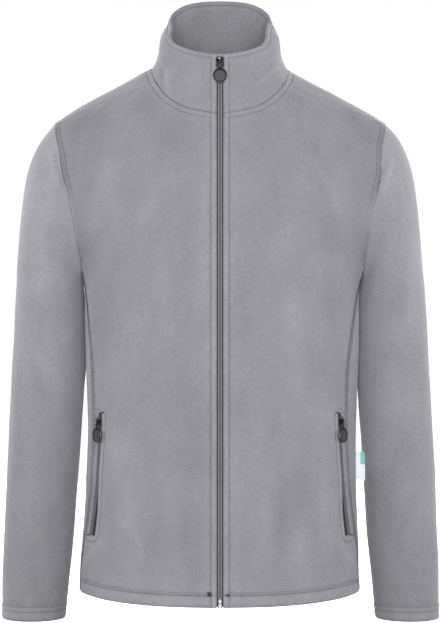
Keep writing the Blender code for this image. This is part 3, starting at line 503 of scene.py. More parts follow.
def rows_at(at, run, table):
    """The rows of a table at some distances along a line."""
    return np.stack([np.interp(at, run, column) for column in table.T], axis=1)


def resampled(points, step):
    """Points about one step apart along a line of points."""
    run = run_of(points)
    at = np.linspace(0.0, run[-1], max(int(round(run[-1] / step)), 2) + 1)
    return rows_at(at, run, points)


# %% Cut the loops at the corners
def split_loop(loop, names):
    """Cuts a closed loop at the named corners of both sides of the body that it passes."""
    marks = []
    for name in names:
        for side in (1, -1):
            corner = np.array([CORNERS[name]]) * (side, 1, 1)
            corner = (corner + arm_move(side, corner))[0] * MM
            away = np.linalg.norm(loop - corner, axis=1)
            if away.min() < CORNER_REACH:
                marks.append((int(away.argmin()), name))
    marks.sort()
    parts = []
    round_again = (marks[0][0] + len(loop), marks[0][1])
    for (start, first), (stop, last) in zip(marks, [*marks[1:], round_again]):
        rows = np.arange(start, stop + 1) % len(loop)
        name = next(key for key, ends in STRETCHES.items() if ends == {first, last})
        parts.append((name, resampled(loop[rows], MM)))
    return parts


def stretches_of(node, mark=OUTER):
    """The named stretches of one side of a panel, as points a millimetre apart."""
    kind = node.split("_")[0]
    loops = edge_loops(SHELLS[node], mark)
    if kind == "sleeve":
        cuff, armhole = sorted(loops[:2], key=lambda loop: loop[:, 2].mean())
        closed = [("cuff", cuff), ("sleeve head", armhole)]
    else:
        closed = [("slot", loop) for loop in loops[1:] if kind == "front"]
    parts = [(name, resampled(np.vstack([loop, loop[:1]]), MM)) for name, loop in closed]
    return parts + (split_loop(loops[0], PANEL_CORNERS[kind]) if PANEL_CORNERS[kind] else [])


# %% [markdown]
# ## Setting in the sleeves
# A sleeve's upper edge, its head, is sewn into the armhole. In the solids a little room is left between
# them, which would show as a dark slit. So each point of the head is drawn to the nearest point of the
# armhole's edge, and the cloth close to it follows.

# %% Set the sleeves into the armholes
SET_IN_REACH = 9.0 * MM
for side, sign in (("left", 1), ("right", -1)):
    shape = SHELLS[f"sleeve_{side}"]
    armhole = np.vstack([
        points
        for node in (f"front_{side}", "back")
        for name, points in stretches_of(node)
        if name == "armhole" and points[0][0] * sign > 0
    ])
    head = max(edge_loops(shape, OUTER)[:2], key=lambda loop: loop[:, 2].mean())
    head = resampled(np.vstack([head, head[:1]]), MM)
    gap = armhole[nearest_rows(armhole, head)[0]] - head
    points = np.array([v.co for v in shape.verts])
    row, away = nearest_rows(head, points)
    share = np.exp(-((away / SET_IN_REACH) ** 2))[:, None]
    for v, place in zip(shape.verts, points + gap[row] * share):
        v.co = place
    print(f"sleeve_{side} set in, gaps up to", round(np.linalg.norm(gap, axis=1).max() / MM, 1), "mm")

# %% [markdown]
# ## The named stretches
# The sleeves' heads have moved, so the stretches of every panel are read once more. Each one's length in
# millimetres is printed: the two armholes should agree with the heads that are sewn to them.

# %% Name the stretches
EDGES = {node: stretches_of(node) for node in SHELLS}
for node, parts in EDGES.items():
    print(node, {name: len(points) - 1 for name, points in parts})

# %% [markdown]
# ## Finer cloth beside the seams
# A row of stitches presses a narrow trough into the pile, and the seam allowance under it lifts a soft
# ridge. Both are only a few millimetres wide, so the faces near the edges are split once or twice more.
# The rest of the panel stays light.

# %% Split the faces near the seams
SEAM_REACH = 15.0 * MM
FINE_FACE = 2.2 * MM**2
PASSES = {"front": 1, "back": 2, "sleeve": 2, "collar": 0}


def refine(node):
    """Splits the larger faces of a panel's outer side and its cut edges near the stretches."""
    shape = SHELLS[node]
    skin_of = shape.faces.layers.int["skin"]
    tree = tree_of(np.vstack([points for _, points in EDGES[node]]))
    for _ in range(PASSES[node.split("_")[0]]):
        near = {v for v in shape.verts if tree.find(v.co)[2] < SEAM_REACH}
        wanted = [
            face
            for face in shape.faces
            if face[skin_of] != INNER and face.calc_area() > FINE_FACE and near.intersection(face.verts)
        ]
        edges = {edge for face in wanted for edge in face.edges}
        bmesh.ops.subdivide_edges(shape, edges=list(edges), cuts=1, use_grid_fill=True)


for node in SHELLS:
    refine(node)
print("faces:", {node: len(shape.faces) for node, shape in SHELLS.items()})

# %% [markdown]
# ## Helpers for materials
# A material is a tree of nodes. These helpers add one node at a time, so that a finish reads like a
# recipe. Its patterns are made by noise in the object's own coordinates, so they need no image and no
# unwrapping, and they stay on the cloth from every side.


# %% Helpers for nodes
def new_group(name, inputs, outputs):
    """A shader group with its sockets. Inputs are (name, kind, default), outputs (name, kind)."""
    group = bpy.data.node_groups.new(name, "ShaderNodeTree")
    for label, kind, default in inputs:
        socket = group.interface.new_socket(name=label, in_out="INPUT", socket_type=f"NodeSocket{kind}")
        socket.default_value = default
    for label, kind in outputs:
        group.interface.new_socket(name=label, in_out="OUTPUT", socket_type=f"NodeSocket{kind}")
    return group, group.nodes.new("NodeGroupInput"), group.nodes.new("NodeGroupOutput")


def add_node(tree, kind, links=(), **values):
    """A node with its settings. A link is (input, source), where a source is a socket or a plain value."""
    node = tree.nodes.new(f"ShaderNode{kind}")
    for key, value in values.items():
        setattr(node, key, value)
    for label, source in links:
        if isinstance(source, (int, float, tuple)):
            node.inputs[label].default_value = source
        else:
            tree.links.new(source, node.inputs[label])
    return node


def noise_at(tree, place, stretch, detail=2.0, rough=0.5):
    """A noise pattern whose features are stretch millimetres wide along x, y and z."""
    scale = tuple(1000.0 / s for s in stretch)
    spread = add_node(tree, "Mapping", [("Vector", place), ("Scale", scale)])
    settings = [("Scale", 1.0), ("Detail", detail), ("Roughness", rough)]
    return add_node(tree, "TexNoise", [("Vector", spread.outputs[0]), *settings]).outputs["Fac"]


def mapped(tree, value, low, high, start=0.3, stop=0.7):
    """Maps a value's range from start to stop, which is a noise's middle, to low and high."""
    ends = [("From Min", start), ("From Max", stop), ("To Min", low), ("To Max", high)]
    return add_node(tree, "MapRange", [("Value", value), *ends]).outputs[0]


def maths(tree, operation, a, b):
    """The result of an operation on two numbers or sockets."""
    return add_node(tree, "Math", [(0, a), (1, b)], operation=operation).outputs[0]


def scaled(tree, colour, factor):
    """A colour times a factor that changes over the surface."""
    return add_node(tree, "VectorMath", [(0, colour), ("Scale", factor)], operation="SCALE").outputs[0]


# %% [markdown]
# ## Fleece
# Micro fleece is a short brushed pile. Seen from the front it is matt and slightly mottled, and at a
# grazing angle the ends of the hairs catch the light as a pale velvet rim. One group makes the nap of
# fine tufts, the soft streaks from brushing and the mix of darker and lighter fibres. Where the cloth
# is stitched down its pile is pressed flat and smoother, and its colour is darkened by painted shade.
# On a ridge the colour gets a painted highlight, so the amount of pressing and shade is less than
# nothing there.

# %% Brushed pile
#  millimetres along x, y and z, then the noise's detail and roughness
PILE_NOISES = {
    "tufts": ((2.4, 2.4, 2.6), 3.0, 0.7),
    "clumps": ((8.0, 8.0, 9.0), 3.0, 0.6),
    "streaks": ((24.0, 24.0, 70.0), 2.0, 0.5),
    "patches": ((60.0, 60.0, 80.0), 2.0, 0.5),
}
# how much the colour darkens as painted shade for each unit of pressing, how much flatter the bump gets, and
# how much the clumps add to the bump
PRESSED_SHADE, PRESSED_BUMP, CLUMP_BUMP = -0.26, 0.3, 1.4
pile, pile_in, pile_out = new_group(
    "Brushed pile",
    [
        ("Colour", "Color", (0.3, 0.3, 0.3, 1.0)),
        ("Mottle", "Float", 0.1),
        ("Streaks", "Float", 0.1),
        ("Press and shade", "Float", 0.0),
    ],
    [("Colour", "Color"), ("Height", "Float")],
)
place = add_node(pile, "TexCoord").outputs["Object"]
tufts, clumps, streaks, patches = (noise_at(pile, place, *row) for row in PILE_NOISES.values())
mottle = maths(pile, "ADD", mapped(pile, tufts, -1.2, 1.2), mapped(pile, clumps, -0.45, 0.45))
mottle = maths(pile, "MULTIPLY", mottle, pile_in.outputs["Mottle"])
broad = maths(pile, "ADD", mapped(pile, streaks, -0.45, 0.45), mapped(pile, patches, -0.6, 0.6))
broad = maths(pile, "MULTIPLY", broad, pile_in.outputs["Streaks"])
press_and_shade = pile_in.outputs["Press and shade"]
# painted shade where the amount is above 0, and a painted highlight where it is below
darker = maths(pile, "MULTIPLY", press_and_shade, PRESSED_SHADE)
shade = maths(pile, "ADD", maths(pile, "ADD", mottle, broad), maths(pile, "ADD", darker, 1.0))
pile.links.new(scaled(pile, pile_in.outputs["Colour"], shade), pile_out.inputs["Colour"])
height = maths(pile, "ADD", tufts, maths(pile, "MULTIPLY", clumps, CLUMP_BUMP))
height = maths(pile, "MULTIPLY", height, mapped(pile, press_and_shade, 1.0, PRESSED_BUMP, 0.0, 1.0))
pile.links.new(height, pile_out.inputs["Height"])
print("group:", pile.name, "with", len(pile.nodes), "nodes")


# %% Helpers for materials
def new_material(name, colour, roughness, **values):
    """A material with plain values on its Principled shader. A pattern may feed its colour later."""
    made = bpy.data.materials.new(name)
    made.use_nodes = True
    shader = made.node_tree.nodes["Principled BSDF"]
    shader.inputs["Base Color"].default_value = (*colour, 1.0)
    shader.inputs["Roughness"].default_value = roughness
    for label, value in values.items():
        shader.inputs[label.replace("_", " ")].default_value = value
    return made, made.node_tree, shader


def add_bump(tree, shader, height, strength, distance):
    """Bump from a height. The distance is in millimetres."""
    settings = [("Strength", strength), ("Distance", distance * MM)]
    bump = add_node(tree, "Bump", [("Height", height), *settings])
    tree.links.new(bump.outputs[0], shader.inputs["Normal"])


# %% [markdown]
# ## The greys of the panels
# The same fleece is used for every panel. Its colour holds painted light and shade: a panel is a
# little lighter or darker towards its top, its bottom and its sides, and each kind of panel has its own
# copy with its own amounts. The sheen is what makes it look like pile and not like card.

# %% Fleece
SHEEN, SHEEN_ROUGHNESS, SHEEN_TINT = 0.55, 0.45, (0.92, 0.92, 1.0, 1.0)
PAINTED_LIGHT_FROM_Z, PAINTED_LIGHT_TO_Z = -0.60, -0.22  # the heights between which the painted light and shade changes
MOTTLE, STREAKS, FLEECE_ROUGHNESS = 0.09, 0.10, 0.95


def fleece_material(name, colour, painted_light, painted_side_shade=1.0, between=(0.13, 0.175)):
    """Takes the painted light and shade of the colour at the top and at the bottom, and the painted shade at
    the sides.
    """
    made, tree, shader = new_material(name, colour, FLEECE_ROUGHNESS, Sheen_Weight=SHEEN)
    shader.inputs["Sheen Roughness"].default_value = SHEEN_ROUGHNESS
    shader.inputs["Sheen Tint"].default_value = SHEEN_TINT
    shader.inputs["Specular IOR Level"].default_value = 0.1
    place = add_node(tree, "SeparateXYZ", [("Vector", add_node(tree, "TexCoord").outputs["Object"])])
    out = add_node(tree, "Math", [(0, place.outputs["X"])], operation="ABSOLUTE").outputs[0]
    # painted light and shade: the colour gets lighter or darker towards the top, the bottom and the sides
    lit = mapped(tree, place.outputs["Z"], painted_light[1], painted_light[0], PAINTED_LIGHT_FROM_Z, PAINTED_LIGHT_TO_Z)
    lit = maths(tree, "MULTIPLY", lit, mapped(tree, out, 1.0, painted_side_shade, *between))
    # the amount of pressing with the painted light and shade of the seams and folds, set on each point
    press_and_shade = add_node(tree, "Attribute", attribute_name="press_and_shade").outputs["Fac"]
    inputs = [("Colour", scaled(tree, colour, lit)), ("Mottle", MOTTLE), ("Streaks", STREAKS)]
    cloth = add_node(tree, "Group", [*inputs, ("Press and shade", press_and_shade)], node_tree=pile)
    tree.links.new(cloth.outputs["Colour"], shader.inputs["Base Color"])
    add_bump(tree, shader, cloth.outputs["Height"], 0.35, 1.2)
    return made


# each kind of panel is a copy with its own painted light and shade; the sleeves are painted lighter at the
# top and darker at the cuffs
GREY = (0.30, 0.295, 0.32)
BODY_FLEECE = fleece_material("Grey micro fleece", GREY, (0.94, 0.93), 0.90)
BACK_FLEECE = fleece_material("Grey micro fleece of the back", GREY, (1.0, 0.94), 0.95)
SLEEVE_PAINTED_LIGHT, SLEEVE_SIDES = (1.10, 0.885), (0.185, 0.235)
SLEEVE_FLEECE = fleece_material("Grey micro fleece of the sleeves", GREY, SLEEVE_PAINTED_LIGHT, 0.98, SLEEVE_SIDES)
print("fleece:", [m.name for m in (BODY_FLEECE, BACK_FLEECE, SLEEVE_FLEECE)])

# %% [markdown]
# ## Folds
# Soft folds are troughs and ridges along lines that are drawn on the panel. Each has its own width and
# height and fades at both ends. The cloth is moved along its outward direction, and its inner side
# goes with the outer, so that the wall keeps its thickness.

# %% Fold tables
# For the body, across is x and up is z, on the side that faces forward, or backward for the back. For a
# sleeve, across is the way round from its outermost line, positive towards the front, but in the rows
# that end in _front it is x, on the side that faces forward.
#  panel          across0  up0    across1  up1    width  height
FOLDS = (
    ("front_right", -84.0, -480.0, -82.0, -655.0, 12.0, -0.9),
    ("front_right", -112.0, -470.0, -116.0, -600.0, 12.0, 0.9),
    ("front_right", -172.0, -640.0, -138.0, -596.0, 6.0, 0.8),
    ("front_right", -140.0, -120.0, -168.0, -215.0, 12.0, 1.2),
    ("front_right", -110.0, -140.0, -128.0, -260.0, 14.0, -0.9),
    ("front_right", -62.0, -210.0, -70.0, -360.0, 16.0, 0.8),
    ("front_right", -142.0, -470.0, -130.0, -560.0, 7.0, 0.8),
    ("front_right", -20.0, -120.0, -26.0, -330.0, 15.0, 0.6),
    ("front_left", 150.0, -130.0, 148.0, -200.0, 11.0, 1.2),
    ("front_left", 124.0, -150.0, 136.0, -240.0, 13.0, -0.9),
    ("front_left", 76.0, -500.0, 72.0, -655.0, 11.0, -0.8),
    ("front_left", 104.0, -430.0, 112.0, -590.0, 14.0, -0.7),
    ("front_left", 172.0, -640.0, 138.0, -596.0, 6.0, 0.8),
    ("front_left", 48.0, -380.0, 52.0, -600.0, 14.0, 0.9),
    ("front_left", 92.0, -300.0, 98.0, -420.0, 16.0, 0.8),
    ("front_left", 138.0, -480.0, 132.0, -570.0, 8.0, 0.8),
    ("front_left", 24.0, -140.0, 30.0, -420.0, 15.0, 0.6),
    ("back", -60.0, -90.0, -78.0, -240.0, 18.0, 1.2),
    ("back", 66.0, -100.0, 80.0, -260.0, 16.0, 1.4),
    ("back", -20.0, -330.0, -34.0, -520.0, 20.0, -1.3),
    ("back", 44.0, -380.0, 36.0, -600.0, 17.0, -1.2),
    ("back", 108.0, -300.0, 96.0, -430.0, 15.0, 1.1),
    ("back", -112.0, -420.0, -104.0, -590.0, 14.0, 1.2),
    ("back", -130.0, -200.0, -110.0, -320.0, 13.0, -1.2),
    ("sleeve_left", -70.0, -180.0, -40.0, -300.0, 13.0, 1.3),
    ("sleeve_left", -96.0, -330.0, -60.0, -390.0, 11.0, -1.2),
    ("sleeve_left", -20.0, -420.0, -60.0, -500.0, 14.0, 1.0),
    ("sleeve_left", 46.0, -200.0, 58.0, -330.0, 15.0, 0.9),
    ("sleeve_left", 30.0, -560.0, 12.0, -660.0, 12.0, 0.9),
    ("sleeve_right", -62.0, -200.0, -38.0, -310.0, 14.0, 1.2),
    ("sleeve_right", -90.0, -350.0, -58.0, -400.0, 12.0, -1.3),
    ("sleeve_right", 0.0, -440.0, -48.0, -520.0, 13.0, 1.0),
    ("sleeve_right", 50.0, -190.0, 60.0, -300.0, 14.0, 0.9),
    ("sleeve_right", 28.0, -580.0, 10.0, -670.0, 11.0, 0.8),
    ("collar", -80.0, 24.0, -68.0, -2.0, 3.0, 1.4),
    ("collar", -68.0, -2.0, -66.0, -26.0, 3.0, 1.3),
    ("collar", -74.0, 4.0, -73.0, -26.0, 3.0, -0.9),
    ("collar", 81.0, 22.0, 46.0, -14.0, 3.0, -1.1),
    ("collar", 84.0, 14.0, 52.0, -18.0, 3.2, 1.1),
    ("collar", 68.0, 0.0, 54.0, -32.0, 4.0, -0.6),
    ("collar", -30.0, 4.0, -38.0, -44.0, 9.0, 0.6),
    ("front_right", -172.0, -634.0, -150.0, -604.0, 2.5, 1.0),
    ("front_right", -134.0, -572.0, -104.0, -596.0, 4.0, 1.1),
    ("front_right", -104.0, -596.0, -96.0, -628.0, 4.0, 1.0),
    ("front_right", -132.0, -590.0, -112.0, -612.0, 5.0, -0.8),
    ("front_left", 170.0, -636.0, 146.0, -606.0, 2.5, 1.0),
    ("front_left", 126.0, -150.0, 150.0, -205.0, 6.0, -0.8),
    ("front_left", 108.0, -560.0, 98.0, -626.0, 7.0, 0.7),
    ("sleeve_right_front", -222.0, -98.0, -208.0, -150.0, 5.0, 1.6),
    ("sleeve_right_front", -212.0, -110.0, -202.0, -150.0, 4.0, -1.3),
    ("sleeve_left_front", 226.0, -108.0, 208.0, -160.0, 5.0, 1.4),
    ("sleeve_left_front", 214.0, -118.0, 202.0, -160.0, 4.0, -1.1),
    ("sleeve_right_front", -246.0, -380.0, -222.0, -430.0, 7.0, -1.0),
    ("sleeve_right_front", -232.0, -368.0, -206.0, -410.0, 6.0, 0.9),
    ("sleeve_left_front", 262.0, -300.0, 226.0, -350.0, 8.0, 0.9),
    ("sleeve_left_front", 250.0, -560.0, 226.0, -610.0, 8.0, -0.9),
)
print("folds:", len(FOLDS))

# %% Where a point lies on its panel
CHART_STEP = 20.0  # the height of the bands in which a sleeve's width is read


def chart(node, points):
    """Across and up for points of a panel, in millimetres."""
    x, y, z = (points / MM).T
    if not node.startswith("sleeve"):
        return x, z
    levels = np.arange(z.min(), z.max() + CHART_STEP, CHART_STEP)
    which = np.clip(np.digitize(z, levels) - 1, 0, len(levels) - 2)
    used = [k for k in range(len(levels) - 1) if (which == k).any()]
    bands = [(x[which == k], y[which == k]) for k in used]
    spans = np.array([[wide.min(), wide.max(), deep.min(), deep.max()] for wide, deep in bands])
    at = levels[used] + CHART_STEP / 2
    x0, x1, y0, y1 = (np.interp(z, at, column) for column in spans.T)
    out = np.sign(x) * (x - (x0 + x1) / 2)
    angle = np.arctan2((y0 + y1) / 2 - y, out)
    return angle * (x1 - x0 + y1 - y0) / 4, z


# %% Fold heights
FRONT_FROM, FRONT_FADE = 0.05, 0.3  # the outward y where a fold of the front begins to show, and its fade
FOLD_FADE = 0.2  # a fold's ends fade over this share of its length, on both sides of each end


def fold_height(node, points, out_y):
    """out_y is the y of each point's outward direction. A fold of the body shows on one side only."""
    round_about, up = chart(node, points)
    forward = smooth((FRONT_FROM - out_y) / FRONT_FADE)
    shown = {"front": forward, "collar": forward, "back": 1 - forward}.get(node.split("_")[0], 1.0)
    out = np.zeros(len(points))
    for panel, x0, z0, x1, z1, width, height in FOLDS:
        if panel not in (node, f"{node}_front"):
            continue
        across, seen = (round_about, shown) if panel == node else (points[:, 0] / MM, forward)
        way = np.array([x1 - x0, z1 - z0])
        length = np.linalg.norm(way)
        way /= length
        reach = ((across - x0) * way[0] + (up - z0) * way[1]) / length
        aside = ((across - x0) * -way[1] + (up - z0) * way[0]) / width
        begun = smooth((reach + FOLD_FADE) / (2 * FOLD_FADE))
        going = smooth((1 + FOLD_FADE - reach) / (2 * FOLD_FADE))
        out += seen * height * np.exp(-aside**2) * begun * going
    return out * MM


# %% [markdown]
# ## Sewn edges
# Where two panels meet, each turns under, so its edge drops away in a small round. The seam allowance
# behind it makes a soft ridge as far as the first row of stitches, each row lies in a trough, and
# the ridge puckers a little between the stitches. The table says where the rows run on each stretch.

# %% Seam table
# rows: the distances of the rows from the edge. deep: how deep their troughs are. puff: the ridge's
# height. turn: how far the edge drops. ends: the stretches whose own rows these rows stop at.
#  panel     stretch        rows          deep         puff   turn   ends
SEAMS = (
    ("front", "edge", (7.5,), (0.45,), 0.75, 0.5, ()),
    ("front", "hem", (15.2, 18.4), (0.95, 0.6), 0.65, 0.6, ("edge",)),
    ("front", "side", (3.2,), (0.2,), 0.0, 0.3, ()),
    ("front", "armhole", (3.0, 6.0), (0.15, 0.3), 0.8, 0.0, ()),
    ("front", "shoulder", (), (), 0.9, 0.4, ()),
    ("front", "neck", (7.2,), (0.25,), 0.65, 0.05, ("edge",)),
    ("front", "slot", (5.0,), (0.45,), 0.75, 1.1, ()),
    ("back", "back hem", (15.2, 18.4), (0.95, 0.6), 0.65, 0.6, ()),
    ("back", "side", (3.2,), (0.2,), 0.0, 0.3, ()),
    ("back", "armhole", (3.0, 6.0), (0.15, 0.3), 0.8, 0.0, ()),
    ("back", "shoulder", (4.0,), (0.5,), 0.8, 0.5, ("armhole",)),
    ("back", "back neck", (7.2,), (0.4,), 0.75, 0.4, ()),
    ("sleeve", "sleeve head", (), (), 0.6, 0.0, ()),
    ("sleeve", "cuff", (12.5, 18.5), (0.45, 0.8), 0.6, 0.6, ()),
    ("collar", "collar foot", (), (), 0.4, 0.0, ()),
    ("collar", "collar edge", (7.5,), (0.45,), 0.6, 0.5, ("rim",)),
    ("collar", "rim", (5.8,), (0.4,), 0.7, 0.4, ("collar edge",)),
)
print("kinds of seam:", len(SEAMS))

# %% Frames and rows along a seam
POCKET_WIDER = 2.8  # how much further from the slot its stitches are on the inner side and below
WIDER_FROM, WIDER_FADE = -0.2, 0.8  # the directions across the slot's edge between which that grows
PROBES, PROBE_STEP = 20, 8 * MM  # how the side that the cloth is on is found
ROW_SOFTENED = 6


def row_distances(name, rows, points, inward):
    """The distance of each row from the edge, for every point of a stretch."""
    table = np.ones((len(points), 1)) * np.array(rows)[None, :]
    if name == "slot":
        centre = -inward[:, 0] * np.sign(points[:, 0])
        table += POCKET_WIDER * smooth((np.maximum(centre, -inward[:, 2]) - WIDER_FROM) / WIDER_FADE)[:, None]
    return table * MM


def skin_tree(shape, mark):
    """A search tree of one skin of a panel."""
    skin_of = shape.faces.layers.int["skin"]
    shape.verts.index_update()
    faces = [[v.index for v in face.verts] for face in shape.faces if face[skin_of] == mark]
    return BVHTree.FromPolygons([v.co for v in shape.verts], faces)


def frame_along(points, skin):
    """Directions along a stretch, out of the cloth, and over the cloth away from the edge."""
    along = unit(np.gradient(points, axis=0))
    inside = np.stack([skin.find_nearest(p)[1] for p in points])
    sideways = unit(np.cross(inside, along))
    some = slice(None, None, max(len(points) // PROBES, 1))
    plus, minus = (
        sum(skin.find_nearest(p + sign * PROBE_STEP * w)[3] for p, w in zip(points[some], sideways[some]))
        for sign in (1, -1)
    )
    return along, inside, sideways if plus < minus else -sideways


def softened(points, times):
    """A line of points made smoother, with its ends kept."""
    for _ in range(times):
        points[1:-1] = (points[:-2] + 2 * points[1:-1] + points[2:]) / 4
    return points


def sew(node, mark=OUTER):
    """The stretches of a panel with their seams: frames, rows and the lines that the rows follow."""
    skin = skin_tree(SHELLS[node], mark)
    sewn = []
    for name, points in stretches_of(node, mark):
        rows, deep, puff, turn, ends = next(
            seam[2:] for seam in SEAMS if seam[0] == node.split("_")[0] and seam[1] == name
        )
        along, normal, inward = frame_along(points, skin)
        distance = row_distances(name, rows, points, inward)
        lines = []
        for column in distance.T:
            line = points + inward * column[:, None]
            line = softened(np.stack([skin.find_nearest(p)[0] for p in line]), ROW_SOFTENED)
            lines.append(line)
        sewn.append(
            dict(name=name, points=points, along=along, normal=normal, inward=inward, rows=distance,
                 lines=lines, deep=deep, puff=puff * MM, turn=turn * MM, ends=ends)
        )
    return sewn


SEWN = {node: sew(node) for node in SHELLS}
SEWN_INSIDE = [seam for seam in sew("collar", INNER) if seam["name"] == "rim"]
for node, sewn in SEWN.items():
    print(node, "rows:", sum(len(seam["lines"]) for seam in sewn))

# %% [markdown]
# ## The relief beside a seam
# Three things are added up for each point: the ridges between the rows, with slow waves along them like
# real puckers, the troughs of the rows, and the drop at the cut edge. The same sums give the amount of
# pressing and painted shade that the fleece's material reads as an attribute: painted shade in the
# troughs and at the turned edges, and a painted highlight on the ridges, so light and form agree.

# %% Measures of the relief
TROUGH_HALF, TROUGH_PRESS_AND_SHADE = 1.0 * MM, 1.1  # how wide a row's trough is, and how much pressing and painted shade it has
ROWS_END = (-150.0 * MM, -172.0 * MM)  # the rows beside the armhole sink into the pile below this
BRIGHT_EDGE, BRIGHT_AT, BRIGHT_HALF = 0.6, 2.0 * MM, 2.2 * MM  # there the body's edge gets a painted highlight, this far from the seam and this wide
SHADED_EDGE, SHADED_DEEP = 0.15, 6.0 * MM  # and the sleeve beside it gets painted shade, fading over this distance
# painted light on the body's side edge beside the sleeve: how much, how far it reaches, and the heights over
# which it fades out downwards
SIDE_EDGE_LIGHT, SIDE_EDGE_DEEP, SIDE_EDGE_ENDS = 0.8, 5.0 * MM, (-260.0 * MM, -340.0 * MM)
PUCKER, PUCKER_LONG = 1.1, 9.0 * MM  # how much a ridge's height changes along it, and how slowly
# slow waves of the cloth beside a row: how high, how long, how far they reach and where they begin
RIPPLE, RIPPLE_LONG, RIPPLE_DEEP, RIPPLE_FROM = 0.9 * MM, 26.0 * MM, 16.0 * MM, 4 * MM
SEAM_FELT = 3 * RIPPLE_DEEP  # a seam changes nothing further away than this
PUCKER_PLANE, RIPPLE_PLANE = (7.3, 0.5), (3.1, 4.5)  # so that each seam has waves of its own
RIDGE_SHAPE = 0.7  # below 1 a ridge is flatter on top than a sine wave
BEYOND_HIGH, BEYOND_DEEP = 0.45, 3.5 * MM  # the last, low ridge beyond the rows
TURN_ROUND, TURN_DARK, TURN_DARK_DEEP = 0.9 * MM, 0.9, 0.8 * MM  # a turned edge's round, and its painted shade
RIDGE_LIGHT, FOLD_LIGHT = 0.55, 0.26  # the painted highlight on a seam's ridge, and the painted light and shade of a 1 mm fold
print("rows by the armhole end at", round(ROWS_END[1] / MM), "mm")


# %% Heights beside a seam
def ridges(d, stops):
    """The ridges between the edge and the rows, and a lower one beyond them, as shares of full height."""
    bumps = np.zeros(len(d))
    for k in range(stops.shape[1] - 1):
        t = (d - stops[:, k]) / (stops[:, k + 1] - stops[:, k])
        bumps += np.where((t > 0) & (t < 1), np.sin(np.pi * np.clip(t, 0, 1)) ** RIDGE_SHAPE, 0.0)
    beyond = np.maximum(d - stops[:, -1], 0.0) / BEYOND_DEEP
    return bumps + BEYOND_HIGH * beyond * np.exp(1.0 - beyond)


def waves(row, length, number, plane):
    """Even noise from -1 to 1 along a seam, whose points are a millimetre apart."""
    apart, level = plane
    return np.array([noise.noise(Vector((r * MM / length, number * apart, level))) for r in row])


def edge_light_and_shade(name, z, d, sunk):
    """Painted shade beside some seams, below 0 where it is a painted highlight."""
    if name == "armhole":
        return -BRIGHT_EDGE * sunk * np.exp(-(((d - BRIGHT_AT) / BRIGHT_HALF) ** 2))
    if name == "sleeve head":
        return SHADED_EDGE * sunk * np.exp(-d / SHADED_DEEP)
    if name == "side":
        high = smooth((z - SIDE_EDGE_ENDS[1]) / (SIDE_EDGE_ENDS[0] - SIDE_EDGE_ENDS[1]))
        return -SIDE_EDGE_LIGHT * high * np.exp(-d / SIDE_EDGE_DEEP)
    return 0.0


def seam_height(node, points):
    """How far the seams lift each point of the outer side, and its pressing and painted shade. Below 0 is a
    painted highlight.
    """
    lift, press_and_shade = np.zeros(len(points)), np.zeros(len(points))
    for number, seam in enumerate(SEWN[node]):
        row, away = nearest_rows(seam["points"], points)
        near = away < SEAM_FELT
        row, d = row[near], away[near]
        stops = np.hstack([np.zeros((len(row), 1)), seam["rows"][row]])
        bumps = ridges(d, stops)
        rise = seam["puff"] * bumps * (1.0 + PUCKER * waves(row, PUCKER_LONG, number, PUCKER_PLANE))
        if seam["lines"]:
            swell = waves(row, RIPPLE_LONG, number, RIPPLE_PLANE)
            rise += RIPPLE * swell * np.exp(-d / RIPPLE_DEEP) * smooth(d / RIPPLE_FROM)
        rise -= seam["turn"] * np.exp(-d / TURN_ROUND)
        # the turned edge gets painted shade, and the ridges a painted highlight
        seam_press_and_shade = TURN_DARK * seam["turn"] / MM * np.exp(-d / TURN_DARK_DEEP)
        seam_press_and_shade -= RIDGE_LIGHT * seam["puff"] / MM * bumps
        z = points[near, 2]
        sunk = smooth((ROWS_END[0] - z) / (ROWS_END[0] - ROWS_END[1]))
        seam_press_and_shade += edge_light_and_shade(seam["name"], z, d, sunk)
        shown = 1.0 - sunk * (seam["name"] == "armhole")
        for deep, stop in zip(seam["deep"], stops.T[1:]):
            trough = shown * np.exp(-(((d - stop) / TROUGH_HALF) ** 2))
            rise -= deep * MM * trough
            # each row's trough gets pressing and painted shade
            seam_press_and_shade += TROUGH_PRESS_AND_SHADE * deep * trough
        lift[near] += rise
        press_and_shade[near] += seam_press_and_shade
    return lift, press_and_shade


# %% [markdown]
# ## Putting folds and seams in
# The outer side is lifted by its folds and seams. The inner side follows the folds only, because the
# seam allowance lies between the two. At the hem and the cuffs the cloth is turned up, so the
# inner side stands a little further in there.

# %% Measures of the cloth
UNEVEN, UNEVEN_SIZE = 0.6, 70.0  # no panel is quite even: how high and how wide its slow waves are
TURN_UP, TURNED_THICK, TURN_UP_FADE = {"hem": 19.0, "back hem": 19.0, "cuff": 18.5}, 1.1 * MM, 1.5 * MM
INSIDE_PRESS_AND_SHADE = 0.45  # how flat the pile is inside, and the painted shade there
INSIDE_ROW, INSIDE_RIDGE, INSIDE_AT, INSIDE_HALF = 0.8, 0.35, 3 * MM, 1.6 * MM  # the collar's row inside: its painted shade, the painted highlight beside it, how far off and how wide
print("turned up, mm:", TURN_UP)


# %% Helpers for the cloth
def skin_normals(points, faces):
    """Unit normals of a skin's points from that skin's own faces."""
    total = np.zeros_like(points)
    for face in faces:
        corner = points[face]
        normal = np.cross(corner[1:-1] - corner[0], corner[2:] - corner[0]).sum(axis=0)
        total[face] += normal
    return unit(total)


def inside_press_and_shade(points):
    """Painted shade in the trough of the row of stitches inside the collar, and a painted highlight beside
    it.
    """
    press_and_shade = np.zeros(len(points))
    for line in SEWN_INSIDE[0]["lines"]:
        _, away = nearest_rows(line, points)
        trough = np.exp(-((away / TROUGH_HALF) ** 2))
        ridge = np.exp(-(((away - INSIDE_AT) / INSIDE_HALF) ** 2))
        press_and_shade += INSIDE_ROW * trough - INSIDE_RIDGE * ridge
    return press_and_shade


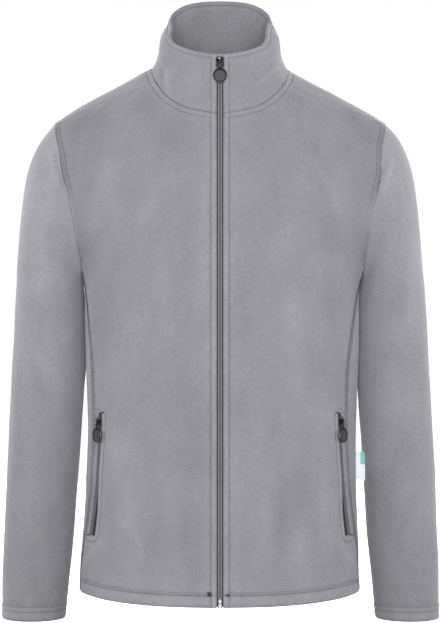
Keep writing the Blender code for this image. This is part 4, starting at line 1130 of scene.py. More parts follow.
def turned_up(node, points):
    """How much further in the inner side stands where the hem or a cuff is turned up."""
    deeper = np.zeros(len(points))
    for seam in SEWN[node]:
        if seam["name"] in TURN_UP:
            _, away = nearest_rows(seam["points"], points)
            deeper += TURNED_THICK * smooth((TURN_UP[seam["name"]] * MM - away) / TURN_UP_FADE + 1.0)
    return deeper


def finished(name, mesh, finish, node=None):
    """A new piece of the jacket's body, which takes the place of a CAD node if one is named."""
    mesh.materials.clear()
    mesh.materials.append(finish)
    piece = plain_object(name, mesh)
    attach(piece, "jacket")
    if node:
        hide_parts(node)
    return piece


# %% Put the folds and seams in
def make_cloth(node):
    """The finished cloth of a panel, in the place of its solid."""
    shape = SHELLS[node]
    mesh = bpy.data.meshes.new(f"{node} cloth")
    shape.to_mesh(mesh)
    points = coordinates(mesh)
    marks = np.empty(len(mesh.polygons), np.int32)
    mesh.attributes["skin"].data.foreach_get("value", marks)
    faces = {
        mark: [list(mesh.polygons[k].vertices) for k in np.flatnonzero(marks == mark)]
        for mark in (OUTER, INNER)
    }
    skin = np.unique(np.concatenate([np.array(face) for face in faces[OUTER]]))
    out = skin_normals(points, faces[OUTER])[skin]
    fold = fold_height(node, points[skin], out[:, 1])
    fold += [UNEVEN * MM * noise.noise(Vector(p / (UNEVEN_SIZE * MM))) for p in points[skin]]
    lift, seam_press_and_shade = seam_height(node, points[skin])
    # painted shade inside; outside, the seams' painted light and shade, with painted highlights on the folds'
    # ridges and painted shade in their troughs
    press_and_shade = np.full(len(points), INSIDE_PRESS_AND_SHADE)
    press_and_shade[skin] = seam_press_and_shade - FOLD_LIGHT * fold / MM
    rest = np.setdiff1d(np.arange(len(points)), skin)
    if node == "collar":
        press_and_shade[rest] += inside_press_and_shade(points[rest])
    row, _ = nearest_rows(points[skin], points[rest])
    inner = fold[row] - turned_up(node, points[rest])
    points[rest] += inner[:, None] * out[row]
    points[skin] += (fold + lift)[:, None] * out
    mesh.vertices.foreach_set("co", points.astype(np.float32).ravel())
    press_and_shade_layer = mesh.attributes.new("press_and_shade", "FLOAT", "POINT")
    press_and_shade_layer.data.foreach_set("value", press_and_shade.astype(np.float32))
    mesh.shade_smooth()
    mesh.set_sharp_from_angle(angle=CUT_EDGE)
    finish = {"sleeve": SLEEVE_FLEECE, "back": BACK_FLEECE}.get(node.split("_")[0], BODY_FLEECE)
    SURFACE[node] = BVHTree.FromPolygons(points, faces[OUTER])
    SURFACE[f"{node} inside"] = BVHTree.FromPolygons(points, faces[INNER])
    return finished(f"{node}_cloth", mesh, finish, node)


SURFACE = {}
CLOTH = {node: make_cloth(node) for node in LEVELS}
print("cloth pieces:", [o.name for o in CLOTH.values()])

# %% [markdown]
# ## Stitches
# Each visible stitch is a short piece of thread that dives into the cloth at both ends. One small
# spindle is the pattern for them all, and every row becomes one joined mesh of its copies.

# %% Thread
THREAD, _, _ = new_material("Grey thread", (0.13, 0.128, 0.142), 0.6)
STITCH_LONG, STITCH_GAP, THREAD_THICK = 2.6 * MM, 0.8 * MM, 0.6 * MM
RINGS, SIDES = 5, 6
TAPER, DIP = 0.8, 2.0  # how much thinner a stitch is at its ends, and how far they dive


def spindle():
    """Points and faces of a thread one unit long and one thick, whose ends dip and taper."""
    at = np.linspace(-0.5, 0.5, RINGS + 2)
    points = [(at[0], 0.0, -0.5)]
    for x in at[1:-1]:
        thick = 0.5 * math.sqrt(1.0 - (2 * x) ** 2 * TAPER)
        for k in range(SIDES):
            turn = 2 * math.pi * k / SIDES
            points.append((x, thick * math.cos(turn), thick * math.sin(turn) - DIP * x * x))
    points.append((at[-1], 0.0, -0.5))
    faces = [(0, 1 + (k + 1) % SIDES, 1 + k) for k in range(SIDES)]
    for ring in range(RINGS - 1):
        a, b = 1 + ring * SIDES, 1 + (ring + 1) * SIDES
        faces += [(a + k, a + (k + 1) % SIDES, b + (k + 1) % SIDES, b + k) for k in range(SIDES)]
    a, last = 1 + (RINGS - 1) * SIDES, len(points) - 1
    faces += [(last, a + k, a + (k + 1) % SIDES) for k in range(SIDES)]
    return np.array(points), faces


SPINDLE_POINTS, SPINDLE_FACES = spindle()
print("a stitch:", len(SPINDLE_POINTS), "points")


def threads(starts, stops, outs, thick, proud=0.25):
    """One mesh of a spindle from each start to each stop. proud is how far it is raised, in thicknesses."""
    middle = (starts + stops) / 2 + outs * thick * proud
    along = stops - starts
    sideways = unit(np.cross(outs, along)) * thick
    up = unit(np.cross(along, sideways)) * thick
    shape = SPINDLE_POINTS[None, :, :, None]
    points = middle[:, None] + shape[:, :, 0] * along[:, None] + shape[:, :, 1] * sideways[:, None]
    points = (points + shape[:, :, 2] * up[:, None]).reshape(-1, 3)
    size = len(SPINDLE_POINTS)
    faces = [[k + size * n for k in face] for n in range(len(starts)) for face in SPINDLE_FACES]
    mesh = bpy.data.meshes.new("threads")
    mesh.from_pydata(points, [], faces)
    mesh.shade_smooth()
    return mesh


# %% [markdown]
# ## Rows of stitches
# A row follows its line from the seam table. It stops where it meets the row of the next seam, as a real
# row does at a corner. Each stitch is laid on the finished cloth, so it follows every fold.

# %% Rows of stitches
CROSSING = 0.4 * MM  # a row runs on this far past the row that it meets
THREAD_LIGHT, THREAD_HEAVY = 0.85, 0.55  # a thread's thickness, and how much a deep trough adds


def on_cloth(node, points):
    """The nearest points of a panel's outer side, and the directions out of it there."""
    hits = [SURFACE[node].find_nearest(p) for p in points]
    return np.stack([hit[0] for hit in hits]), np.stack([hit[1] for hit in hits])


def stitch_row(node, line, stops_at):
    """Starts, stops and outward directions of the stitches along a line on a panel."""
    run = run_of(line)
    count = int(run[-1] / (STITCH_LONG + STITCH_GAP))
    begin = (np.arange(count) + 0.1) * run[-1] / count
    ends = []
    for at in (begin, begin + STITCH_LONG):
        points, out = on_cloth(node, rows_at(at, run, line))
        ends.append(points)
    kept = np.ones(count, bool)
    for points, limit in stops_at:
        _, away = nearest_rows(points, ends[0])
        kept &= away > limit
    return ends[0][kept], ends[1][kept], out[kept]


def panel_stitches(node, sewn):
    """All the rows of a panel. Where a row's trough is deeper, its thread is heavier."""
    parts = []
    for seam in sewn:
        stops_at = [(s["points"], s["rows"].min() - CROSSING) for s in sewn if s["name"] in seam["ends"]]
        for line, deep in zip(seam["lines"], seam["deep"]):
            if seam["name"] == "armhole":
                line = line[line[:, 2] > ROWS_END[1]]
            starts, stops, outs = stitch_row(node, line, stops_at)
            thick = THREAD_THICK * (THREAD_LIGHT + THREAD_HEAVY * deep)
            parts.append((starts, stops, outs, np.full((len(starts), 1), thick)))
    return [np.vstack(part) for part in zip(*parts)]


total = 0
for name, sewn in [*SEWN.items(), ("collar inside", SEWN_INSIDE)]:
    rows = panel_stitches(name, sewn)
    total += len(rows[0])
    finished(f"{name.replace(' ', '_')}_stitches", threads(*rows), THREAD)
print("stitches:", total)

# %% [markdown]
# ## Tubes
# Seam allowances, tape edges, coils and barrels are all tubes of some section. A tube is lofted: rings
# of points are set along a line, and each ring is joined to the next by quads. One helper makes the
# faces, and another joins several tubes into one mesh.

# %% Tubes
SHARP_TUBE = math.radians(50)


def loft(sections):
    """A closed tube through sections, each a ring of the same number of points."""
    rows, count = sections.shape[:2]
    faces = []
    for a in range(0, (rows - 1) * count, count):
        b = a + count
        faces += [(a + k, a + (k + 1) % count, b + (k + 1) % count, b + k) for k in range(count)]
    faces += [tuple(range(count))[::-1], tuple((rows - 1) * count + k for k in range(count))]
    return sections.reshape(-1, 3), faces


def joined(parts):
    """One mesh of several (points, faces)."""
    points, faces, size = [], [], 0
    for more, rings in parts:
        faces += [[k + size for k in face] for face in rings]
        points.append(more)
        size += len(more)
    mesh = bpy.data.meshes.new("joined")
    mesh.from_pydata(np.vstack(points), [], faces)
    shape = bmesh.new()
    shape.from_mesh(mesh)
    bmesh.ops.recalc_face_normals(shape, faces=shape.faces)
    shape.to_mesh(mesh)
    shape.free()
    mesh.shade_smooth()
    mesh.set_sharp_from_angle(angle=SHARP_TUBE)
    return mesh


# %% [markdown]
# ## Seam allowances
# Behind each seam lie the raw edges of its two panels. They close the seam, so that no light comes
# through where the panels meet.

# %% Allowances
ALLOWANCE_DEEP, ALLOWANCE_HALF, ALLOWANCE_SIDES = 2.0 * MM, 1.6 * MM, 8
ALLOWANCE_SOFTENED = 4
turns = 2 * math.pi * np.arange(ALLOWANCE_SIDES) / ALLOWANCE_SIDES
for name, sewn in SEWN.items():
    for number, seam in enumerate(seam for seam in sewn if seam["name"] in ("armhole", "shoulder")):
        line, out = on_cloth(name, seam["points"][2:-2:3])
        along = unit(np.gradient(line, axis=0))
        level = unit(np.cross(along, out))
        upright = np.cross(level, along)
        rings = [
            line - out * ALLOWANCE_DEEP + ALLOWANCE_HALF * (math.cos(a) * level + math.sin(a) * upright)
            for a in turns
        ]
        tube = joined([loft(softened(np.stack(rings, axis=1), ALLOWANCE_SOFTENED))])
        finished(f"{name}_{seam['name']}_allowance_{number + 1}", tube, BODY_FLEECE)

# %% [markdown]
# ## Ladder seams
# The side seams are flat seams: the back's edge lies under the front's, and a row of cross threads holds
# them like the rungs of a ladder. Each rung starts on the back and reaches well over the front.

# %% Side ladders
RUNG_FRONT, RUNG_BACK, RUNG_STEP, RUNG_THICK, RUNG_PROUD = 8.0 * MM, 2.5 * MM, 3.0 * MM, 1.1 * MM, 0.7
for side in ("left", "right"):
    front = f"front_{side}"
    seam = next(s for s in SEWN[front] if s["name"] == "side")
    rungs = slice(4, -4, int(RUNG_STEP / MM))
    middle, inward = seam["points"][rungs], seam["inward"][rungs]
    starts, outs = on_cloth(front, middle + inward * RUNG_FRONT)
    stops, _ = on_cloth("back", middle - inward * RUNG_BACK)
    finished(f"ladder_{side}", threads(starts, stops, outs, RUNG_THICK, RUNG_PROUD), THREAD)
    print(f"ladder_{side}: {len(starts)} rungs")

# %% [markdown]
# ## Bar tacks
# Where a row of stitches ends at a zip, a few tight cross stitches keep it from opening. They are dark
# and stand out as small knots at the hem and at both ends of each pocket.

# %% Bar tacks
DARK_THREAD, _, _ = new_material("Dark thread", (0.045, 0.045, 0.05), 0.6)
TACK_THREADS, TACK_THICK, TACK_PROUD, TACK_SWING = 12, 0.9 * MM, 1.1, 0.3 * MM
#  name              panel          centre x, y, z              half along  half across   turn (degrees)
TACKS = (
    ("tack_hem_right", "front_right", (-13.4, -133.0, -666.0), 2.7, 2.9, 25.0),
    ("tack_hem_left", "front_left", (9.4, -133.0, -667.0), 2.2, 2.4, -8.0),
    ("tack_top_right", "front_right", (-152.6, -85.0, -441.6), 2.8, 0.9, 5.0),
    ("tack_top_left", "front_left", (152.6, -85.0, -441.6), 2.8, 0.9, -5.0),
    ("tack_end_right", "front_right", (-167.5, -56.0, -602.4), 2.8, 0.9, 8.0),
    ("tack_end_left", "front_left", (167.5, -56.0, -602.4), 2.8, 0.9, -8.0),
)
for name, panel, centre, half_along, half_across, turn in TACKS:
    middle, out = (rows[0] for rows in on_cloth(panel, [np.array(centre) * MM]))
    level = unit(np.cross((0.0, 0.0, 1.0), out))
    upright = np.cross(out, level)
    angle = math.radians(turn)
    along = level * math.cos(angle) + upright * math.sin(angle)
    across = np.cross(out, along)
    at = np.linspace(-half_along, half_along, TACK_THREADS)[:, None] * MM
    swing = (-1.0) ** np.arange(TACK_THREADS)[:, None] * TACK_SWING
    low, outs = on_cloth(panel, middle + at * along - half_across * MM * across + swing * along)
    high, _ = on_cloth(panel, middle + at * along + half_across * MM * across - swing * along)
    finished(name, threads(low, high, outs, TACK_THICK, TACK_PROUD), DARK_THREAD)
print("bar tacks:", len(TACKS))

# %% [markdown]
# ## Zips
# These are reverse coil zips. From outside one sees two smooth edges of woven tape with a thin dark line
# between them, and the nylon coil is on the inside. Each edge is a rounded strip with a fine rib for
# every turn of the coil. The coil itself is one thread in loops that grip those of the other side. The
# CAD strip of each zip gives the line that both follow.

# %% Strips along a zip
ZIP_SOFTENED = 240  # how often a zip's line is made smoother, because its CAD strip has few sections


def zip_line(node, step):
    """Middles, across and outward directions along a CAD strip whose sections have four corners."""
    corners = np.unique(np.round(coordinates(NODES[node].data), 5), axis=0)
    rows = corners[np.argsort(corners[:, 2])].reshape(-1, 4, 3)
    middle = rows.mean(axis=1)
    across = np.stack([np.linalg.svd(row - row.mean(axis=0))[2][0] for row in rows])
    across *= np.sign(across[:, :1])
    out = unit(np.cross(across, np.gradient(middle, axis=0)))
    away = middle * (1, 1, 0)
    out *= np.sign((out * away).sum(axis=1, keepdims=True))
    half = np.abs(((rows - middle[:, None]) * across[:, None]).sum(axis=2)).mean()
    run = run_of(middle)
    at = np.arange(0.0, run[-1], step)
    line, level, outward = (rows_at(at, run, part) for part in (middle, across, out))
    return softened(line, ZIP_SOFTENED), unit(level), unit(outward), half


# %% Tape edges
PITCH = 1.3 * MM  # one turn of the coil
RIB = 0.09  # how far each rib stands up, in millimetres
#  share of the half width, height over the strip's middle in mm
TAPE_EDGE = (
    (0.15, -0.9), (0.12, 0.05), (0.2, 0.58), (0.38, 0.84),
    (0.66, 0.86), (0.9, 0.66), (1.0, 0.2), (1.0, -0.9),
)


def tape_edges(node):
    """The two rounded edges of the tapes, which meet in the middle of a zip."""
    middle, across, out, half = zip_line(node, PITCH / 2)
    ribs = RIB * (-1.0) ** np.arange(len(middle))
    halves = []
    for side in (-1, 1):
        ring = [
            middle + side * share * half * across + ((high + (high > 0) * ribs) * MM)[:, None] * out
            for share, high in TAPE_EDGE
        ]
        halves.append(loft(np.stack(ring, axis=1)))
    return joined(halves)


# %% Coils
#  one loop of the coil: share of the half width, height over the strip's middle in mm
COIL_LOOP = (
    (-0.16, -2.9), (0.0, -2.25), (0.5, -2.1), (0.92, -2.4),
    (1.0, -2.9), (0.88, -3.4), (0.5, -3.6), (0.0, -3.5),
)
COIL_THICK, COIL_SIDES = 0.32, 4


def coils(node):
    """The two coils of a zip. Each is one thread, and its loops lie between those of the other."""
    step = PITCH / len(COIL_LOOP)
    middle, across, out, half = zip_line(node, step)
    turn = np.arange(len(middle)) % len(COIL_LOOP)
    halves = []
    for side in (-1, 1):
        share, high = np.array(COIL_LOOP)[(turn + (side > 0) * len(COIL_LOOP) // 2) % len(COIL_LOOP)].T
        path = middle + side * (share * half)[:, None] * across + (high * MM)[:, None] * out
        along = unit(np.gradient(path, axis=0))
        one = unit(np.cross(along, (0.0, 0.0, 1.0)))
        other = np.cross(along, one)
        angles = 2 * math.pi * np.arange(COIL_SIDES) / COIL_SIDES
        ring = [path + COIL_THICK * MM * (math.cos(a) * one + math.sin(a) * other) for a in angles]
        halves.append(loft(np.stack(ring, axis=1)))
    return joined(halves)


# %% [markdown]
# ## Finishes of the zips
# The tape is woven in fine diagonal lines, so it has a twill bump and a little colour change along
# them. The coil is clear grey nylon. Sliders and pulls are plated dark, with paler metal where the
# plating has worn from the edges. The twill and the wear are groups, because several finishes use
# them, each with its own colours and amounts.

# %% Twill weave
TWILL_SLANT, MM_TURNS = 0.8, 2000 * math.pi  # a sine of metres times MM_TURNS has one wave a millimetre
twill, twill_in, twill_out = new_group(
    "Twill weave",
    [("Colour", "Color", (0.2, 0.2, 0.2, 1.0)), ("Thread", "Float", 0.5), ("Contrast", "Float", 0.2)],
    [("Colour", "Color"), ("Height", "Float")],
)
place = add_node(twill, "TexCoord").outputs["Object"]
parts = add_node(twill, "SeparateXYZ", [("Vector", place)])
up = maths(twill, "MULTIPLY", parts.outputs["Z"], TWILL_SLANT)
slant = maths(twill, "ADD", parts.outputs["X"], up)
turns = maths(twill, "DIVIDE", maths(twill, "MULTIPLY", slant, MM_TURNS), twill_in.outputs["Thread"])
wave = add_node(twill, "Math", [(0, turns)], operation="SINE").outputs[0]
wale = maths(twill, "MULTIPLY_ADD", wave, 0.5)
lint = noise_at(twill, place, (2.0, 2.0, 5.0), 3.0, 0.6)
uneven = maths(twill, "ADD", wale, mapped(twill, lint, -0.5, 0.5))
depth = maths(twill, "MULTIPLY", uneven, twill_in.outputs["Contrast"])
thread = scaled(twill, twill_in.outputs["Colour"], maths(twill, "ADD", depth, 1.0))
twill.links.new(thread, twill_out.inputs["Colour"])
twill.links.new(wale, twill_out.inputs["Height"])
print("group:", twill.name, "with", len(twill.nodes), "nodes")

# %% Worn plating
EDGE_FROM, EDGE_TO = 0.52, 0.60  # how pointed an edge is where the plating starts to wear, and is worn
wear, wear_in, wear_out = new_group(
    "Worn plating",
    [
        ("Plating", "Color", (0.03, 0.03, 0.03, 1.0)),
        ("Metal", "Color", (0.3, 0.3, 0.3, 1.0)),
        ("Edge wear", "Float", 0.5),
        ("Roughness", "Float", 0.3),
    ],
    [("Colour", "Color"), ("Roughness", "Float"), ("Height", "Float")],
)
place = add_node(wear, "TexCoord").outputs["Object"]
edge = add_node(wear, "NewGeometry").outputs["Pointiness"]
scuffs = noise_at(wear, place, (0.5, 0.5, 0.9), 4.0, 0.65)
smudges = noise_at(wear, place, (3.0, 3.0, 4.0), 2.0, 0.5)
edge = mapped(wear, edge, 0.0, 1.0, EDGE_FROM, EDGE_TO)
edge = maths(wear, "MULTIPLY", edge, mapped(wear, scuffs, 0.2, 1.0))
edge = maths(wear, "MULTIPLY", edge, wear_in.outputs["Edge wear"])
colours = [("A", wear_in.outputs["Plating"]), ("B", wear_in.outputs["Metal"])]
mixed = add_node(wear, "Mix", [("Factor", edge), *colours], data_type="RGBA")
wear.links.new(mixed.outputs[2], wear_out.inputs["Colour"])
roughness = maths(wear, "ADD", wear_in.outputs["Roughness"], mapped(wear, smudges, -0.07, 0.12))
wear.links.new(roughness, wear_out.inputs["Roughness"])
wear.links.new(scuffs, wear_out.inputs["Height"])
print("group:", wear.name, "with", len(wear.nodes), "nodes")


# %% Woven and plated materials
def woven(name, colour, thread, contrast, **values):
    """A woven finish. thread is the distance between two wales in millimetres."""
    made, tree, shader = new_material(name, colour, 0.85, **values)
    shader.inputs["Specular IOR Level"].default_value = 0.2
    inputs = [("Colour", (*colour, 1.0)), ("Thread", thread), ("Contrast", contrast)]
    weave = add_node(tree, "Group", inputs, node_tree=twill)
    tree.links.new(weave.outputs["Colour"], shader.inputs["Base Color"])
    add_bump(tree, shader, weave.outputs["Height"], 0.5, 0.12)
    return made


def plated(name, plating, metal, edge_wear, rough):
    """Metal with a dark plating that is worn away from its edges."""
    made, tree, shader = new_material(name, plating, rough, Metallic=1.0)
    colours = [("Plating", (*plating, 1.0)), ("Metal", (*metal, 1.0))]
    worn = add_node(tree, "Group", [*colours, ("Edge wear", edge_wear), ("Roughness", rough)], node_tree=wear)
    tree.links.new(worn.outputs["Colour"], shader.inputs["Base Color"])
    tree.links.new(worn.outputs["Roughness"], shader.inputs["Roughness"])
    add_bump(tree, shader, worn.outputs["Height"], 0.15, 0.1)
    return made, tree, shader, worn


# %% Tape, nylon and metal
DARK, SHINE, BLACK = (0.018, 0.017, 0.019), (0.5, 0.5, 0.52), (0.010, 0.0095, 0.011)
CLEAR_GREY = (0.09, 0.09, 0.1)
# the tape behind the panels is painted dark, as shade; its edges in front have the tape's own grey
TAPE_IN_SHADE = woven("Zip tape", (0.045, 0.044, 0.05), 0.5, 0.25)
TAPE_FRONT = woven("Edge of the zip tape", (0.2, 0.197, 0.215), 0.45, 0.2)
# the pocket zips' edges are darker than the front zip's: partly their own grey, partly painted shade of the
# slots
POCKET_FRONT_TONE_AND_SHADE = woven("Edge of the pocket zip tape, toned and shaded", (0.13, 0.128, 0.14), 0.45, 0.2)
NYLON, tree, shader = new_material("Grey nylon", CLEAR_GREY, 0.4, Coat_Weight=0.2)
cloudy = noise_at(tree, add_node(tree, "TexCoord").outputs["Object"], (1.5, 1.5, 1.5))
tree.links.new(scaled(tree, CLEAR_GREY, mapped(tree, cloudy, 0.8, 1.2)), shader.inputs["Base Color"])
GUNMETAL = plated("Gunmetal", BLACK, SHINE, 0.7, 0.24)[0]
STEEL = plated("Satin steel", (0.40, 0.40, 0.42), (0.85, 0.85, 0.86), 0.5, 0.28)[0]
POLISHED = plated("Polished steel", (0.8, 0.8, 0.82), (0.9, 0.9, 0.9), 0.5, 0.14)[0]
ZIP_FINISHES = (TAPE_IN_SHADE, TAPE_FRONT, POCKET_FRONT_TONE_AND_SHADE, NYLON, GUNMETAL, STEEL, POLISHED)
print("zip finishes:", [finish.name for finish in ZIP_FINISHES])

# %% [markdown]
# ## Pull tabs and sliders
# The solids of the pulls and the sliders are detailed enough, so they stay and only get a finish, and
# a bevel that rounds their edges. Each tab has a satin dish inside its rim, turned on a lathe in rings
# about its own centre. The rims and the sliders are darker, with bright metal at the worn edges.

# %% Pulls and sliders
DISH, DISH_RADIUS, DISH_INSIDE, DISH_OUTSIDE = (0.075, 0.074, 0.08), 7.2 * MM, 0.5 * MM, 0.3 * MM
RING_STEP, RING_DEEP = 2.4, 0.2  # millimetres from ring to ring, and how much their shade changes
PULL_ROUGH, DISH_ROUGH = 0.34, 0.5
TAB_ACROSS, TAB_SHARE = 19.0 * MM, 0.95
SOFT_EDGE, SOFT_ANGLE = 0.22 * MM, math.radians(35)


def dished(name, centre):
    """Gunmetal with a satin dish: round the centre it is turned in rings and paler."""
    made, tree, shader, worn = plated(name, DARK, SHINE, 0.7, PULL_ROUGH)
    place = add_node(tree, "TexCoord").outputs["Object"]
    from_centre = add_node(tree, "VectorMath", [(0, place), (1, tuple(centre))], operation="DISTANCE")
    away = from_centre.outputs["Value"]
    inside = mapped(tree, away, 1.0, 0.0, DISH_RADIUS - DISH_INSIDE, DISH_RADIUS + DISH_OUTSIDE)
    ring = maths(tree, "DIVIDE", maths(tree, "MULTIPLY", away, MM_TURNS), RING_STEP)
    rings = add_node(tree, "Math", [(0, ring)], operation="SINE").outputs[0]
    brushed = noise_at(tree, place, (6.0, 6.0, 0.35), 3.0, 0.6)
    rings = maths(tree, "MULTIPLY", rings, RING_DEEP)
    satin = scaled(tree, DISH, maths(tree, "ADD", mapped(tree, brushed, 0.75, 1.25), rings))
    plating = add_node(tree, "Mix", [(0, inside), (6, (*DARK, 1.0)), (7, satin)], data_type="RGBA")
    tree.links.new(plating.outputs[2], worn.inputs["Plating"])
    tree.links.new(mapped(tree, inside, PULL_ROUGH, DISH_ROUGH, 0.0, 1.0), worn.inputs["Roughness"])
    return made


for name, node in NODES.items():
    if "pull" not in name and "slider" not in name:
        continue
    finish = GUNMETAL
    if "pull" in name:
        points = coordinates(node.data)
        tab = points[points[:, 2] < points[:, 2].min() + TAB_SHARE * TAB_ACROSS]
        centre = (tab.min(axis=0) + tab.max(axis=0)) / 2
        finish = dished(f"Gunmetal of the {name.replace('_', ' ')}", centre)
    node.data.materials.clear()
    node.data.materials.append(finish)
    soft = node.modifiers.new("soft edges", "BEVEL")
    soft.width, soft.segments, soft.limit_method, soft.angle_limit = SOFT_EDGE, 2, "ANGLE", SOFT_ANGLE
print("metal finishes:", [m.name for m in bpy.data.materials if "unmetal" in m.name])

# %% [markdown]
# ## Building the zips
# Each tape is a thin strip of cloth behind the panel's edge, so it becomes a shell like the panels do.
# Its colour is darkened as painted shade, because it lies in the shadow behind the panels' edges.
# The two tape edges and the coil take the place of the plain CAD strip between them.

# %% Zips
TAPES = ("zip_tape_left", "zip_tape_right", "pocket_tape_left", "pocket_tape_right")
for name in TAPES:
    mesh = subdivided(quads_of(name), 2)
    if name.startswith("pocket"):
        points = coordinates(mesh)
        points += gape(1 if name.endswith("left") else -1, points / MM) * MM
        mesh.vertices.foreach_set("co", points.astype(np.float32).ravel())
    finished(f"{name}_cloth", mesh, TAPE_IN_SHADE, name)
for name in ("zip_chain", "pocket_chain_left", "pocket_chain_right"):
    front = TAPE_FRONT if name == "zip_chain" else POCKET_FRONT_TONE_AND_SHADE
    finished(f"{name}_edges", tape_edges(name), front, name)
    loops = finished(f"{name}_coils", coils(name), NYLON)
    print(name, "coils:", len(loops.data.polygons), "faces")

# %% [markdown]
# ## Bottom of the zip
# The insertion pin and its box are two small pressed metal barrels, each with a waist where it is
# clamped to the tape. They are the only bright metal on the jacket.

# %% Pin and box
low, high = (np.array(corner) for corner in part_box("zip_box"))
BARREL_SIDES, BARREL_APART = 16, 1.6 * MM
#  share of the height, half width and depth in mm
BARREL = (
    (0.0, 0.6, 0.7), (0.04, 1.0, 1.2), (0.12, 1.22, 1.45), (0.32, 1.25, 1.5),
    (0.42, 0.8, 1.0), (0.5, 0.6, 0.8), (0.58, 0.8, 1.0),
    (0.68, 1.25, 1.5), (0.86, 1.22, 1.45), (0.95, 1.0, 1.1), (1.0, 0.5, 0.6),
)
angles = 2 * math.pi * np.arange(BARREL_SIDES) / BARREL_SIDES
barrels = []
for side in (-1, 1):
    middle = ((low + high) / 2 + (side * BARREL_APART, 0, 0)) * (1, 1, 0)
    rings = []
    for share, wide, deep in BARREL:
        ring = np.stack([wide * np.cos(angles), deep * np.sin(angles), 0 * angles], axis=1) * MM
        rings.append(ring + middle + (0, 0, low[2] + share * (high[2] - low[2])))
    barrels.append(loft(np.stack(rings)))
finished("pin_and_box", joined(barrels), STEEL, "zip_box")
print("pin and box, mm:", [round(v / MM, 1) for v in high - low])

# %% [markdown]
# ## Chin guard
# A small flap of the fleece stands behind the top of the zip, so that the slider doesn't touch the chin,
# and its upper edge rolls forward over the ends of the tapes. The flap follows the back of the tape, so
# its place is read from the solid of the tape, and both parts are lofted and then rounded.

# %% Back of the zip tape
TAPE_FROM_X, TAPE_FROM_Z, LEVEL_STEP, LEVEL_HALF = 1.0, -60.0, 4.0, 2.1
tape = coordinates(NODES["zip_tape_left"].data) / MM
tape = tape[(tape[:, 0] < TAPE_FROM_X) & (tape[:, 2] > TAPE_FROM_Z)]
levels = np.unique(np.round(tape[:, 2] / LEVEL_STEP)) * LEVEL_STEP
behind = [tape[np.abs(tape[:, 2] - level) < LEVEL_HALF][:, 1].max() for level in levels]
print("back of the tape at its top, mm:", round(behind[-1], 1))

# %% Guard
GUARD_HALF, GUARD_TOP, GUARD_THICK, GUARD_APART = 11.5, 16.9, 1.5, 0.4
GUARD_HEIGHTS = (-16.0, -8.0, 0.0, 7.0, 12.0, 15.0, 16.4)
GUARD_SECTIONS, GUARD_THIN, GUARD_END = 13, 0.6, 6  # it is thinner only close to its two ends
ROLL_HALF, ROLL_Y, ROLL_Z, ROLL_ROUND = 6.5, -77.2, 14.9, 2.1
ROLL_SECTIONS, ROLL_SIDES = 9, 12
ring = [(0.0, h) for h in GUARD_HEIGHTS] + [(0.5, GUARD_TOP)] + [(1.0, h) for h in GUARD_HEIGHTS[::-1]]
sections = []
for x in np.linspace(-GUARD_HALF, GUARD_HALF, GUARD_SECTIONS):
    thick = GUARD_THICK * (1.0 - GUARD_THIN * (abs(x) / GUARD_HALF) ** GUARD_END)
    section = [(x, np.interp(h, levels, behind) + GUARD_APART + share * thick, h) for share, h in ring]
    sections.append(section)
turns = 2 * math.pi * np.arange(ROLL_SIDES) / ROLL_SIDES
roll = [
    [(x, ROLL_Y + ROLL_ROUND * math.cos(a), ROLL_Z + ROLL_ROUND * math.sin(a)) for a in turns]
    for x in np.linspace(-ROLL_HALF, ROLL_HALF, ROLL_SECTIONS)
]
guard = joined([loft(np.array(part) * MM) for part in (sections, roll)])
guard = finished("chin_guard", subdivided(guard, 1), BODY_FLEECE)
print("chin guard:", len(guard.data.polygons), "faces")

# %% [markdown]
# ## Spring cap
# The slider locks itself by a small spring, whose polished cap sits at the top of the bridge. It is
# rounded on all sides, so it catches a point of light. It is low enough to let the pull swing past it.

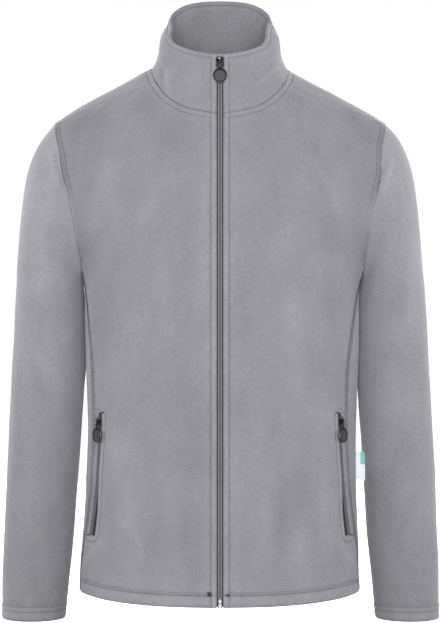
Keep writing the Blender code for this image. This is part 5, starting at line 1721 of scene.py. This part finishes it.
# %% Cap
CAP_CENTRE, CAP_ROUND, CAP_SIDES, CAP_RINGS = (-0.8, -84.0, 10.3), (1.4, 1.2, 1.1), 16, 10
ball = bmesh.new()
bmesh.ops.create_uvsphere(ball, u_segments=CAP_SIDES, v_segments=CAP_RINGS, radius=MM)
bmesh.ops.scale(ball, vec=CAP_ROUND, verts=ball.verts)
bmesh.ops.translate(ball, vec=np.array(CAP_CENTRE) * MM, verts=ball.verts)
mesh = bpy.data.meshes.new("spring cap")
ball.to_mesh(mesh)
ball.free()
mesh.shade_smooth()
finished("spring_cap", mesh, POLISHED)
print("spring cap, mm:", [2 * half for half in CAP_ROUND])

# %% [markdown]
# ## Side label
# A woven satin tab is folded in two and caught in the side seam. Its weave is finer than the tape's and
# shinier, its fold is soft, and a plain patch of another colour is woven into its upper corner. It also
# glows a little: painted light, which stands in for the light through the thin satin.

# %% Satin
PALE, PATCH = (0.93, 0.97, 1.0), (0.25, 0.60, 0.58)
PATCH_FROM, PATCH_EDGE = (184.6, -513.0), 0.4  # the patch is beyond this x and above this z
LABEL_THREAD, LABEL_CONTRAST = 0.3, 0.06
LABEL, tree, shader = new_material("Woven satin label", PALE, 0.45, Sheen_Weight=0.3)
shader.inputs["Anisotropic"].default_value = 0.4
shader.inputs["Emission Strength"].default_value = 0.3  # a painted glow, which stands in for the light that comes through the thin satin
place = add_node(tree, "TexCoord").outputs["Object"]
parts = add_node(tree, "SeparateXYZ", [("Vector", place)])
beyond, above = (
    mapped(tree, parts.outputs[axis], 0.0, 1.0, (at - PATCH_EDGE) * MM, (at + PATCH_EDGE) * MM)
    for axis, at in zip("XZ", PATCH_FROM)
)
patch = maths(tree, "MULTIPLY", beyond, above)
two = add_node(tree, "Mix", [(0, patch), (6, (*PALE, 1.0)), (7, (*PATCH, 1.0))], data_type="RGBA")
inputs = [("Colour", two.outputs[2]), ("Thread", LABEL_THREAD), ("Contrast", LABEL_CONTRAST)]
weave = add_node(tree, "Group", inputs, node_tree=twill)
tree.links.new(weave.outputs["Colour"], shader.inputs["Base Color"])
tree.links.new(weave.outputs["Colour"], shader.inputs["Emission Color"])
add_bump(tree, shader, weave.outputs["Height"], 0.3, 0.06)
print("satin:", LABEL.name)

# %% Label
LABEL_LEVELS = 3
tab = subdivided(quads_of("side_label"), LABEL_LEVELS)
label = finished("side_label_cloth", tab, LABEL, "side_label")
print("label faces:", len(label.data.polygons))
